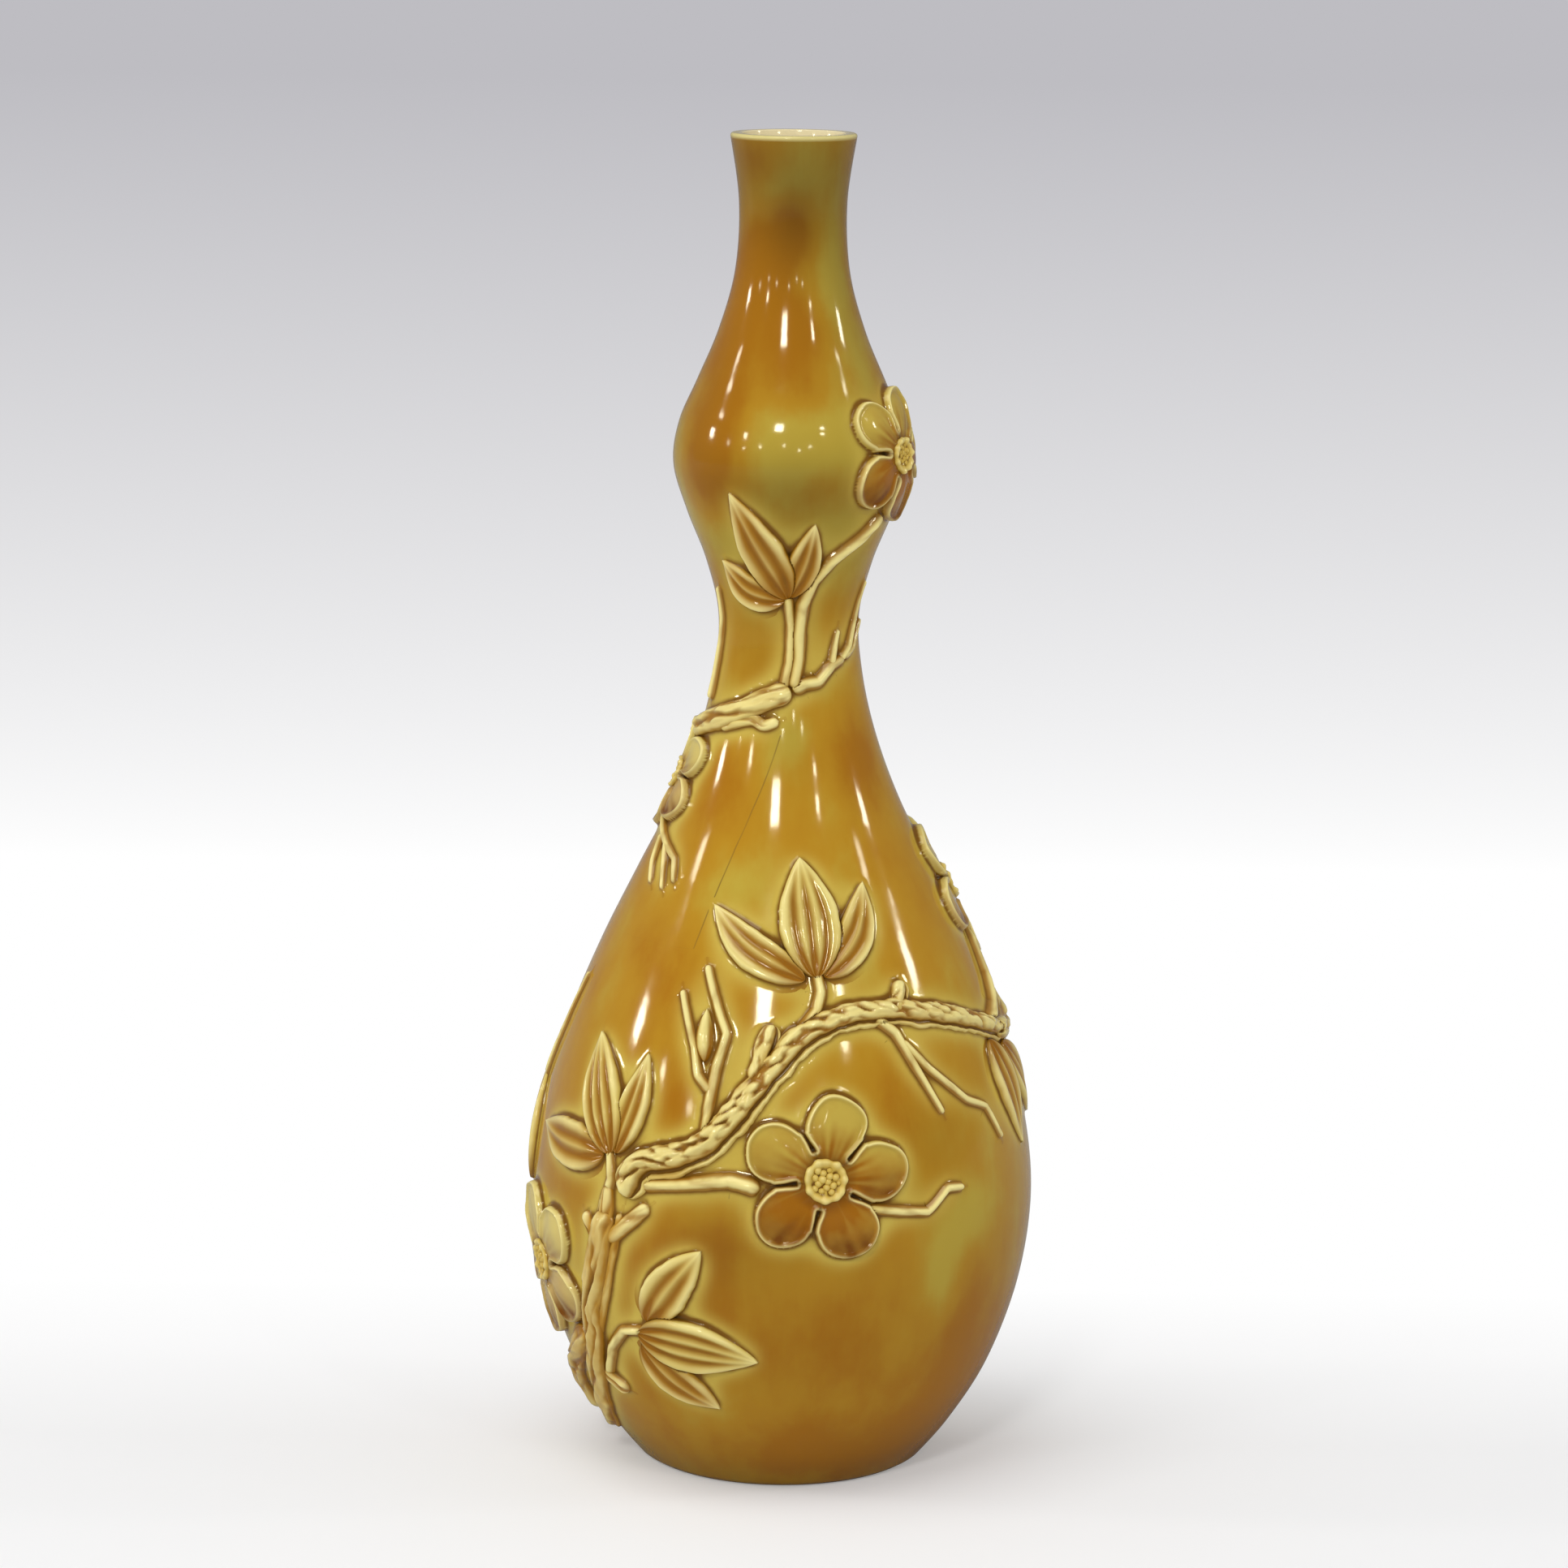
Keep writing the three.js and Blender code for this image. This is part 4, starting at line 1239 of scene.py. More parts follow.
# Relief that counts as standing on the wall, in millimetres.
STANDING = (0.3, 0.7)
CLOSE_SPREADS = (0.6, 1.0, 1.6)
RIM_SPREAD = 0.9
RUN_DOWN = 0.9 * MM
HALO_SPREAD = 3.2
HALO_EDGE = (0.03, 0.4)
HALO_FADE = (0.19, 0.212)
HALO_LOSS = 0.5
# How glaze pools, with painted shade in the hollows and along a sprig's outline: what counts of a wider
# hollow, the drop that feeds it, and the shares of the hollow, of what runs down into it and of the sprig's
# outline.
NEAR_SHARE = 0.85
FED_START = 0.15
POOL_AND_SHADE_SHARES = (0.6, 0.2, 0.9)
POOL_AND_SHADE_MOST = 1.1
CREST_SOFTNESS = 0.3
# Height above the wall at which a sprig takes on its own glaze, in millimetres.
OWN_GLAZE = (0.15, 0.7)
# Reach of a blur, in spreads.
BLUR_REACH = 4
# Keeps the places that are read below the last row of a map.
ROW_MARGIN = 1.001
ALL_ROUND = 4000


@dataclass
class Patch:
    """A soft patch on the wall: its middle, its half sizes, and how strong it is."""

    azimuth: float
    height: float
    half_azimuth: float
    half_height: float
    strength: float

    def at(self, azimuth: np.ndarray, height: np.ndarray) -> np.ndarray:
        """Strength at places given in radians and metres."""
        turn = (np.degrees(azimuth) - self.azimuth + 180) % 360 - 180
        away = (turn / self.half_azimuth) ** 2 + ((height / MM - self.height) / self.half_height) ** 2
        return self.strength * np.exp(-away)


AMBER_LEVEL = 0.55
AMBER_PATCHES = tuple(Patch(*row) for row in (
    (-45, 290, 40, 12, 0.5), (0, 298, 24, 8, 0.8), (-38, 314, 22, 5, 0.4), (10, 310, 60, 9, -0.3),
    (2, 272, 28, 11, 0.6), (-48, 264, 22, 15, 0.55), (-44, 244, 13, 12, 0.55), (-80, 246, 14, 20, -0.3),
    (45, 285, 26, 24, -0.5), (12, 250, 36, 9, -0.6), (0, 224, 80, 12, -0.4), (-35, 201, 28, 8, 0.1),
    (2, 180, 20, 8, -0.45), (45, 174, 20, 10, 0.45), (-35, 166, 24, 8, 0.18), (-25, 145, 22, 8, -0.25),
    (48, 142, 16, 20, 0.05), (-36, 124, 18, 14, 0.25), (-28, 100, 10, 9, 0.3), (-20, 56, 16, 10, 0.2),
    (12, 62, 20, 12, -0.25), (32, 99, 12, 10, 0.3), (-56, 74, 9, 7, 0.35), (8, 46, 34, 16, 0.35),
    (55, 28, 26, 20, 0.4), (46, 70, 8, 9, -0.45), (38, 54, 7, 12, -0.5), (30, 40, 6, 9, -0.35),
    (-32, 62, 14, 8, 0.3), (-15, 68, 11, 6, 0.3), (20, 12, 60, 9, 0.45), (130, 270, 30, 16, 0.5),
    (200, 250, 30, 12, -0.4), (250, 285, 30, 18, 0.4), (110, 175, 25, 10, -0.3), (160, 165, 25, 12, 0.45),
    (225, 150, 25, 14, 0.4), (130, 70, 18, 20, 0.35), (190, 45, 30, 18, 0.35), (240, 60, 20, 20, 0.3),
    (150, 30, 8, 18, -0.35),
))
# Patches that darken the wall: painted shade round the neck, under the upper bulb, at the foot and on the
# lower belly, and a few smaller darker spots.
PAINTED_SHADE_PATCHES = tuple(Patch(*row) for row in (
    (0, 312, ALL_ROUND, 20, 0.46), (2, 299, 30, 12, 0.18), (0, 240, 56, 8, 0.34), (58, 282, 30, 26, 0.2),
    (0, 268, ALL_ROUND, 26, 0.1), (10, 231, 44, 7, 0.16), (0, 218, ALL_ROUND, 12, 0.18),
    (0, 2, ALL_ROUND, 10, 0.24), (0, 48, ALL_ROUND, 42, 0.12), (-30, 199, 30, 10, 0.12),
    (2, 178, 16, 9, 0.1), (-60, 255, 22, 18, 0.1), (48, 172, 18, 12, 0.06), (-14, 66, 13, 10, 0.16),
    (38, 90, 12, 10, 0.12),
))
# Height and azimuth along the hairline crack on the cone.
HAIRLINE = ((132, -31.0), (140, -29.0), (147, -26.5), (155, -23.0), (163, -18.0), (172, -11.0), (181, -4.0))


class GlazeMap:
    """How the glaze lies over the relief, mapped over the whole wall."""

    def __init__(self, wall: Wall, reliefs: list[Relief]) -> None:
        """Map the relief and work out where glaze pools and thins, and where shade is painted round the
        sprigs.

        Args:
            wall: the wall.
            reliefs: every sprig on the chart.
        """
        self.wall = wall
        self.rows = int(wall.length / CELL) + 2
        self.radius = wall.radius_at(np.arange(self.rows) * CELL)
        rise = np.maximum(self.mapped(reliefs), 0) / MM
        held = eased(*STANDING, rise)
        self.close, self.near, self.wide = (self.blurred(rise, spread) for spread in CLOSE_SPREADS)
        self.rim = self.blurred(held, RIM_SPREAD)
        self.below = np.roll(self.close, round(RUN_DOWN / CELL), axis=0)
        self.halo = eased(*HALO_EDGE, self.blurred(held, HALO_SPREAD))

    def mapped(self, reliefs: list[Relief]) -> np.ndarray:
        """Height of the relief over each cell of the wall."""
        heights = np.zeros((self.rows, COLUMNS))
        for relief in reliefs:
            points = points_of(relief.mesh)
            rows = np.round(points[:, 1] / CELL).astype(int)
            columns = np.round(points[:, 0] / GIRTH * COLUMNS / math.tau).astype(int)
            cells = {(r + a, c + b) for r, c in set(zip(rows, columns)) for a, b in NEIGHBOURS}
            for row, column in cells:
                if not 0 <= row < self.rows:
                    continue
                spot = (column * math.tau / COLUMNS * GIRTH, row * CELL, RAY_START)
                hit = relief.tree.ray_cast(spot, STRAIGHT_DOWN)[0]
                if hit is not None:
                    heights[row, column % COLUMNS] = max(heights[row, column % COLUMNS], hit.z)
        return heights

    def blurred(self, cells: np.ndarray, spread: float) -> np.ndarray:
        """Soften a map by a spread in millimetres, the same in every direction on the wall."""
        turns = np.arange(COLUMNS // 2 + 1)
        damp = np.exp(-0.5 * (spread * MM / self.radius[:, None] * turns) ** 2)
        level = np.fft.irfft(np.fft.rfft(cells, axis=1) * damp, COLUMNS, axis=1)
        reach = int(BLUR_REACH * spread * MM / CELL) + 1
        weights = np.exp(-0.5 * (np.arange(-reach, reach + 1) * CELL / (spread * MM)) ** 2)
        weights /= weights.sum()
        padded = np.pad(level, ((reach, reach), (0, 0)))
        return sum(weight * padded[i : i + self.rows] for i, weight in enumerate(weights))

    def read(self, cells: np.ndarray, azimuth: np.ndarray, arc: np.ndarray) -> np.ndarray:
        """Read a map between its cells."""
        row = np.clip(arc / CELL, 0, self.rows - ROW_MARGIN)
        column = azimuth * COLUMNS / math.tau
        low, left = np.floor(row).astype(int), np.floor(column).astype(int)
        up, aside = row - low, column - left
        left, right = left % COLUMNS, (left + 1) % COLUMNS
        level = cells[low, left] * (1 - aside) + cells[low, right] * aside
        above = cells[low + 1, left] * (1 - aside) + cells[low + 1, right] * aside
        return level * (1 - up) + above * up

    def dress(self, mesh: bpy.types.Mesh, azimuth: np.ndarray, arc: np.ndarray, proud: np.ndarray) -> None:
        """Write the glaze's values on a mesh, including the painted shade in its pools and outlines.

        Args:
            mesh: the mesh.
            azimuth: azimuth of each point in radians.
            arc: its distance up the wall.
            proud: its height above the wall.
        """
        height = self.wall.height_at(arc)
        own = proud / MM
        maps = (self.close, self.near, self.wide, self.below, self.halo, self.rim)
        close, near, wide, below, halo, rim = (self.read(cells, azimuth, arc) for cells in maps)
        # Glaze pools and shade is painted where a point lies below the relief round it.
        hollow = np.clip(np.maximum(close - own, NEAR_SHARE * (near - own)), 0, None)
        fed = np.clip(below - own - FED_START, 0, None)
        # Dark line round the foot of a sprig: pooled glaze and painted shade.
        outline = np.clip(rim - eased(*STANDING, own), 0, 1)
        of_hollow, of_fed, of_outline = POOL_AND_SHADE_SHARES
        pool = np.maximum(of_hollow * hollow + of_fed * fed, of_outline * outline)
        set_fields(
            mesh,
            pool=np.clip(pool, 0, POOL_AND_SHADE_MOST),
            crest=np.clip((own - wide) / (CREST_SOFTNESS * own + CREST_SOFTNESS), 0, 1),
            halo=halo * (1 - HALO_LOSS * eased(*HALO_FADE, height)),
            relief=eased(*OWN_GLAZE, own),
            amber=AMBER_LEVEL + sum(patch.at(azimuth, height) for patch in AMBER_PATCHES),
            # Painted shade, from the shade patches.
            deep=sum(patch.at(azimuth, height) for patch in PAINTED_SHADE_PATCHES),
        )


FAR_OFF = 9.0
INSIDE_DEPTHS = (-1.2, -2.4)
LIP_BAND = (LIP_HEIGHT - 1.2, LIP_HEIGHT - 0.5)


@dataclass
class Gourd:
    """One turned section of the vessel."""

    name: str
    sides: int

    def outline(self, wall: Wall) -> tuple[np.ndarray, bool]:
        """Rows of radius and height, and whether they close on themselves."""
        raise NotImplementedError

    def build(self, shop: Workshop, glaze: GlazeMap) -> bpy.types.Object:
        """Turn the section and glaze it."""
        spots, closed = self.outline(shop.wall)
        reach, height = spots.T
        points = np.column_stack([reach, 0 * reach, height])
        mesh = plain_mesh("outline", points, chain(len(points), closed), reach=reach, height=height)
        skin = grown(shop.turned, mesh, Sides=self.sides, Material=shop.glazes[Slot.BODY])
        x, y, z = points_of(skin).T
        radius = np.hypot(x, y)
        arc = shop.wall.arc_at(z)
        azimuth = np.arctan2(x, -y)
        outer = radius - shop.wall.radius_at(arc)
        glaze.dress(skin, azimuth, arc, 0 * arc)
        places, turns = np.array(HAIRLINE).T
        turn = np.radians(np.interp(z / MM, places, turns))
        level = (z / MM > places[0]) & (z / MM < places[-1])
        away = np.where(level, (azimuth - turn) * radius / MM, FAR_OFF)
        set_fields(
            skin, hairline=np.clip(away, -FAR_OFF, FAR_OFF), inside=eased(*INSIDE_DEPTHS, outer / MM),
            lip=eased(*LIP_BAND, z / MM),
        )
        return shop.placed(self.name, skin, Slot.BODY, self.name)


LIP_ROUND = 0.7 * MM
LIP_TURNS = np.linspace(0, math.pi / 2, 7)[1:]
SEAM_STEPS = np.array([0.0, 0.05, 0.1, 0.3]) * MM
SEAM_MARGIN = 0.9 * MM
# Rings up the outside and down the inside of each section.
LOWER_RINGS = (246, 36)
UPPER_RINGS = (190, 60)
# Radius and height, from the middle of the foot to its rounded edge.
FOOT = np.array([(0, 0), (12, 0), (24, 0), (32.6, 0), (33.4, 0.03), (34.1, 0.2), (34.6, 0.55)]) * MM
FOOT_END = 1.2 * MM
WELL_HEIGHT = 16 * MM
WELL_ROUND = 9 * MM
WELL_RING = 14 * MM


@dataclass
class LowerGourd(Gourd):
    """Base and lower bulb, up to the waist."""

    def outline(self, wall: Wall) -> tuple[np.ndarray, bool]:
        """From the middle of the foot, up the outside and down the inside."""
        seam = float(wall.arc_at(SEAM_HEIGHT * MM))
        up, down = LOWER_RINGS
        climb = np.linspace(FOOT_END, seam - SEAM_MARGIN, up)
        outer = wall.spots(np.concatenate([climb, seam - SEAM_STEPS[::-1]]))
        inner = wall.spots(np.linspace(seam, wall.arc_at(WELL_HEIGHT), down), 1.0)
        inner[0, 1] = SEAM_HEIGHT * MM
        rings = (inner[-1, 0] - WELL_ROUND, WELL_RING, 0)
        floor = np.array([(ring, BASE_THICKNESS * MM) for ring in rings])
        return np.vstack([FOOT, outer, inner, floor]), False


@dataclass
class UpperGourd(Gourd):
    """Waist, upper bulb, neck and lip."""

    def outline(self, wall: Wall) -> tuple[np.ndarray, bool]:
        """Up the outside, over the lip and down the inside."""
        seam = float(wall.arc_at(SEAM_HEIGHT * MM))
        top = wall.length - LIP_ROUND
        up, down = UPPER_RINGS
        climb = np.linspace(seam + SEAM_MARGIN, top, up)
        outer = wall.spots(np.concatenate([seam + SEAM_STEPS, climb]))
        inner = wall.spots(np.linspace(top, seam, down), 1.0)
        inner[-1, 1] = SEAM_HEIGHT * MM
        outside, inside = self.rounded(outer[-1], -LIP_ROUND), self.rounded(inner[0], LIP_ROUND)
        return np.vstack([outer, outside, inside[::-1], inner]), True

    def rounded(self, edge: np.ndarray, aside: float) -> np.ndarray:
        """Quarter turn from an edge of the lip up to its top, by how far it goes aside."""
        out = aside * (1 - np.cos(LIP_TURNS))
        up = (LIP_HEIGHT * MM - edge[1]) * np.sin(LIP_TURNS)
        return edge + np.column_stack([out, up])


@dataclass(frozen=True)
class Grain:
    """Soft noise in a glaze: its scale across and up the wall, its detail and its roughness."""

    across: float
    up: float
    detail: float
    rough: float = 0.5


class MaterialSheet(NodeSheet):
    """A material's tree."""

    def mixed(self, share: Socket | float, first: Socket | Colour, second: Socket | Colour) -> Socket:
        """Mix two colours, each a socket or a colour of its own."""
        first, second = (linear(value) if isinstance(value, tuple) else value for value in (first, second))
        links = {0: share, 6: first, 7: second}
        return self.place("ShaderNodeMix", links, data_type="RGBA", clamp_factor=True).outputs[2]

    def dimmed(self, colour: Socket, level: Socket) -> Socket:
        """Darken a colour to a level from 0 to 1."""
        links = {0: 1.0, 6: colour, 7: level}
        return self.place("ShaderNodeMix", links, data_type="RGBA", blend_type="MULTIPLY").outputs[2]

    def scaled(self, value: Socket, reach: Spot, share: Spot = (0.0, 1.0)) -> Socket:
        """Turn a value within a reach into an even share."""
        links = dict(enumerate((value, *reach, *share)))
        return self.place("ShaderNodeMapRange", links).outputs[0]

    def field(self, name: str) -> Socket:
        """Read one of the values that the points carry."""
        node = self.place("ShaderNodeAttribute", attribute_name=name, attribute_type="GEOMETRY")
        return node.outputs["Fac"]

    def pattern(self, grain: Grain) -> Socket:
        """Soft noise over the piece."""
        coordinates = self.place("ShaderNodeTexCoord").outputs["Object"]
        links = {"Vector": coordinates, "Scale": (grain.across, grain.across, grain.up)}
        return self.noise(self.place("ShaderNodeMapping", links).outputs[0], 1.0, grain.detail, grain.rough)


@dataclass(frozen=True)
class GlazeFinish:
    """A glaze over modelled clay: the sprig's own colours, how the glaze thins, pools and settles, and the
    shade painted in its pools.
    """

    slot: Slot
    own: Colour
    own_amber: Colour
    thinning: float = 0.9
    # How strongly pooled glaze and painted shade darken the colour.
    pooling_and_shade: float = 1.0
    settling: float = 0.0
    grooving: float = 0.0
    hollow: Colour = (146, 94, 16)
    ripple_strength: float = 0.3

    OLIVE = (182, 156, 56)
    GOLD = (176, 130, 28)
    AMBER = (163, 106, 11)
    PALE = (202, 178, 80)
    CREAM = (238, 224, 150)
    LIP = (208, 194, 128)
    SETTLED = (114, 64, 2)
    # Brown and dark of pooled glaze, with painted shade in them.
    BROWN = (120, 80, 16)
    DARK = (74, 48, 10)
    INSIDE = (228, 214, 172)
    CRACK = (112, 86, 36)

    RUNS = Grain(85, 8, 4.0, 0.6)
    CLOUDS = Grain(22, 14, 3.0)
    BLOTS = Grain(75, 55, 4.0, 0.55)
    MOTTLE = Grain(90, 90, 3.0)
    SPECKS = Grain(400, 400, 2.0)
    STAINS = Grain(260, 260, 3.0)
    CRACK_BREAKS = Grain(80, 80, 2.0)
    SATIN = Grain(120, 120, 3.0)
    RIPPLE = Grain(160, 110, 2.0)

    DRIFT_SHARES = (0.6, 0.6, 0.7)
    DRIFT_LEVEL = 0.95
    GOLD_TONES = (0.15, 0.6)
    AMBER_TONES = (0.52, 1.05)
    HALO_LEVEL = 0.15
    HALO_SHARE = 0.65
    MOTTLE_SHARE = 1.2
    STAIN_LEVEL = 0.4
    STAIN_SHARE = 1.2
    SPECK_SHARE = 0.12
    SPECK_LEVEL = 0.06
    # Reach of pooled glaze and painted shade over which the colour turns brown, then dark.
    BROWN_POOL_AND_SHADE = (0.06, 0.4)
    DARK_POOL_AND_SHADE = (0.35, 0.95)
    CRACK_EDGE = (0.06, 0.26)
    CRACK_SHARE = 1.1

    GLOSS = 0.05
    GLOSS_CHANGE = 0.08
    RIPPLE_DEPTH = 0.4 * MM
    GLASS_BEND = 1.5
    GLASS_SHINE = 0.45
    GLASS_TINT = (1.0, 0.95, 0.72, 1.0)

    def wall_colour(self, sheet: MaterialSheet) -> Socket:
        """Glaze on the open wall, from olive to amber in runs, darkened by painted shade."""
        runs, clouds, blots = (sheet.pattern(grain) for grain in (self.RUNS, self.CLOUDS, self.BLOTS))
        drifts = [sheet.product(*pair) for pair in zip((runs, clouds, blots), self.DRIFT_SHARES)]
        tone = sheet.total(sheet.field("amber"), sheet.total(*drifts, -self.DRIFT_LEVEL))
        colour = sheet.mixed(sheet.ramp(tone, *self.GOLD_TONES), self.OLIVE, self.GOLD)
        colour = sheet.mixed(sheet.ramp(tone, *self.AMBER_TONES), colour, self.AMBER)
        # Painted shade from the patches darkens the wall's colour.
        colour = sheet.dimmed(colour, sheet.less(1.0, sheet.field("deep")))
        breaks = [sheet.product(part, self.HALO_SHARE) for part in (clouds, blots)]
        uneven = sheet.total(self.HALO_LEVEL, *breaks)
        halo = sheet.product(sheet.field("halo"), uneven)
        return sheet.mixed(halo, colour, self.PALE)

    def colour(self, sheet: MaterialSheet) -> Socket:
        """Colour of the whole glaze: wall, sprig, thin edges, and pools with painted shade."""
        mottle = sheet.product(sheet.less(sheet.pattern(self.MOTTLE), NOISE_MIDDLE), self.MOTTLE_SHARE)
        tint = sheet.total(sheet.field("tint"), mottle)
        own = sheet.mixed(tint, self.own, self.own_amber)
        colour = sheet.mixed(sheet.field("relief"), self.wall_colour(sheet), own)
        edge = "rim" if self.slot is Slot.PETAL else "crest"
        thin = sheet.product(sheet.field(edge), self.thinning)
        colour = sheet.mixed(thin, colour, self.CREAM)
        grooved = sheet.product(sheet.field("groove"), self.grooving)
        colour = sheet.mixed(grooved, colour, self.hollow)
        specks = sheet.product(sheet.pattern(self.SPECKS), self.SPECK_SHARE)
        stains = sheet.total(self.STAIN_LEVEL, sheet.product(sheet.pattern(self.STAINS), self.STAIN_SHARE))
        settled = sheet.product(sheet.field("settled"), self.settling, stains)
        colour = sheet.mixed(settled, colour, self.SETTLED)
        # Pooled glaze and painted shade darken the colour to brown, then to dark.
        pooled_and_shaded = sheet.product(sheet.total(sheet.field("pool"), specks, -self.SPECK_LEVEL), self.pooling_and_shade)
        colour = sheet.mixed(sheet.ramp(pooled_and_shaded, *self.BROWN_POOL_AND_SHADE), colour, self.BROWN)
        return sheet.mixed(sheet.ramp(pooled_and_shaded, *self.DARK_POOL_AND_SHADE), colour, self.DARK)

    def vessel(self, sheet: MaterialSheet, colour: Socket) -> Socket:
        """Lip, inside and hairline of the vessel."""
        if self.slot is not Slot.BODY:
            return colour
        colour = sheet.mixed(sheet.field("lip"), colour, self.LIP)
        colour = sheet.mixed(sheet.field("inside"), colour, self.INSIDE)
        away = sheet.maths("ABSOLUTE", sheet.field("hairline"))
        crack = sheet.less(1.0, sheet.ramp(away, *self.CRACK_EDGE))
        faint = sheet.product(crack, sheet.pattern(self.CRACK_BREAKS), self.CRACK_SHARE)
        return sheet.mixed(faint, colour, self.CRACK)

    def material(self) -> bpy.types.Material:
        """Build the glaze."""
        made = bpy.data.materials.new(self.slot.value)
        made.use_nodes = True
        sheet = MaterialSheet(made.node_tree)
        shader = made.node_tree.nodes["Principled BSDF"]
        shader.inputs["IOR"].default_value = self.GLASS_BEND
        shader.inputs["Specular IOR Level"].default_value = self.GLASS_SHINE
        shader.inputs["Specular Tint"].default_value = self.GLASS_TINT
        rough = sheet.total(self.GLOSS, sheet.product(sheet.pattern(self.SATIN), self.GLOSS_CHANGE))
        links = {"Strength": self.ripple_strength, "Distance": self.RIPPLE_DEPTH}
        bump = sheet.place("ShaderNodeBump", {**links, "Height": sheet.pattern(self.RIPPLE)})
        link = made.node_tree.links.new
        link(self.vessel(sheet, self.colour(sheet)), shader.inputs["Base Color"])
        link(rough, shader.inputs["Roughness"])
        link(bump.outputs[0], shader.inputs["Normal"])
        return made


FINISHES = (
    GlazeFinish(Slot.BODY, (172, 140, 46), (160, 100, 16), ripple_strength=0.1),
    GlazeFinish(
        Slot.LEAF, (208, 186, 96), (178, 130, 36), thinning=0.85, grooving=0.95, hollow=(146, 94, 14),
    ),
    GlazeFinish(Slot.BARK, (222, 202, 118), (180, 132, 40), pooling_and_shade=0.9, grooving=0.9),
    GlazeFinish(Slot.PETAL, (188, 162, 68), (154, 96, 8), thinning=0.85, settling=0.95),
    GlazeFinish(Slot.STAMEN, (212, 188, 92), (192, 150, 48), pooling_and_shade=1.2),
)


def strands(*rows: tuple[tuple[Spot, ...], Spot]) -> tuple[Strand, ...]:
    """Strands from rows of path and width."""
    return tuple(Strand(path, width) for path, width in rows)


TWIGS = (
    Branch("shoulder_stem", strands((((-1, 213), (2, 206), (1, 197), (-3, 191)), (2.6, 3)))),
    Branch("waist_twig", strands(
        (((3, 190.5), (12, 192), (23, 192.5), (35, 196), (48, 197.5)), (3.8, 3)),
        (((35, 196), (43, 204.5)), (2.8, 1.8)),
        (((44, 197), (55, 200), (63, 206), (71, 215.5)), (2.8, 1.6)),
        (((48, 197.5), (60, 199.5), (76, 206)), (2.8, 1.8)),
    )),
    Branch("waist_side_twig", strands((((-64, 214), (-65, 206), (-69, 197), (-72, 186)), (2, 3)))),
    Branch("hanging_twig", strands(
        (((-84, 158), (-66, 153), (-53, 150), (-48, 145)), (3, 2)),
        (((-72, 154), (-68, 148), (-62, 143.5)), (2.6, 1.8)),
        (((-64, 153), (-58, 148), (-53, 143)), (2.6, 1.8)),
    )),
    Branch("centre_stem", strands((((9.5, 129), (10.5, 124), (9, 120), (4, 115)), (2.8, 3.6)))),
    Branch("right_riser", strands((((71, 110), (79, 113), (86, 119), (91, 126), (96, 134)), (4.8, 3.4)))),
    Branch("right_twig", strands(
        (((26, 117.5), (31, 114), (34.5, 107.5), (41.5, 94.5)), (3.4, 2)),
        (((32.5, 112), (39.5, 105), (50, 96.5), (57, 93.5), (62, 85)), (2.8, 2)),
    )),
    Branch("forked_twig", strands(
        (((-18.7, 88), (-18.3, 97), (-17.3, 107), (-15.6, 114.5), (-19, 120), (-24.5, 129)), (3.4, 2.4)),
        (((-18, 101.5), (-22, 105), (-24, 111), (-31, 123)), (2.8, 2.2)),
    )),
    Branch("left_stem", strands((((-43.5, 85), (-42, 78.5), (-43.5, 73), (-44.5, 67)), (2.8, 4)))),
    Branch("blossom_twig_left", strands((((-33, 78.5), (-24, 80), (-12, 82), (-5, 80.5)), (3.2, 4.8)))),
    Branch("blossom_twig_right", strands((((19, 75.5), (34, 73), (40, 77.5), (45, 77)), (3, 2.4)))),
    Branch("low_stem", strands((((-33, 43), (-40, 41.5), (-45.5, 36), (-50, 28)), (3, 3.4)))),
    Branch("left_edge_twig", strands((((-79, 120), (-83, 106), (-90, 92)), (1.8, 2.6)))),
    Branch("back_stem", strands((((217, 99), (207, 90), (194, 85), (178, 86)), (3, 3.4)))),
    Branch("back_shoulder_stem", strands((((184, 213), (187, 202), (194, 182), (206, 162)), (2.6, 3.4)))),
    Branch("back_twig", strands(
        (((158, 141), (152, 150), (149, 160), (140, 172)), (3.2, 2)),
        (((150, 155), (158, 162), (161, 170)), (2.6, 1.8)),
    )),
)
BOUGHS = (
    Branch("trunk", strands(
        (((-70, 9), (-61, 19), (-53.5, 32), (-49, 47), (-45, 60), (-42.5, 71)), (5.5, 8)),
        (((-46, 56), (-43, 67), (-42.5, 77)), (6.5, 3.6)),
        (((-38.5, 71), (-40.5, 62), (-44, 50), (-49, 39)), (2.4, 2.6)),
        (((-42, 64), (-31, 74)), (4.5, 3.4)),
        (((-44, 62), (-50, 69)), (4.5, 3.4)),
        (((-52, 28), (-44, 24.5)), (4.5, 3.8)),
        (((-54, 38), (-66, 29), (-77, 20), (-84, 11)), (6, 7)),
    ), TRUNK_STYLE),
    Branch("back_bough", strands(
        (((74, 108), (90, 107), (112, 114), (150, 136), (206, 163), (240, 174), (272, 179)), (5.5, 5)),
    ), BRANCH_STYLE),
    Branch("main_bough", strands(
        (((-37, 75), (-34, 83), (-25, 85.5), (-16, 91), (-6, 103), (4, 113.5), (16, 118), (31, 118.5),
          (53, 114.5), (78, 107)), (8.5, 5.5)),
        (((-7, 104), (-3, 117)), (5.5, 5)),
        (((33, 118), (37, 125)), (5.5, 4.5)),
    ), BOUGH_STYLE),
    Branch("shoulder_branch", strands(
        (((58, 232), (44, 226.5), (29, 222), (17.5, 217), (10.5, 211), (8, 204), (8, 198), (4, 191)),
         (4, 3.4)),
    )),
    Branch("waist_branch", strands(
        (((2, 191), (-11, 189), (-38, 185), (-60, 182), (-86, 178.5)), (5.4, 6.4)),
        (((-50, 181), (-26, 183.5), (-16, 182.3), (-6, 183.5)), (3.4, 2.6)),
    ), BRANCH_STYLE),
)
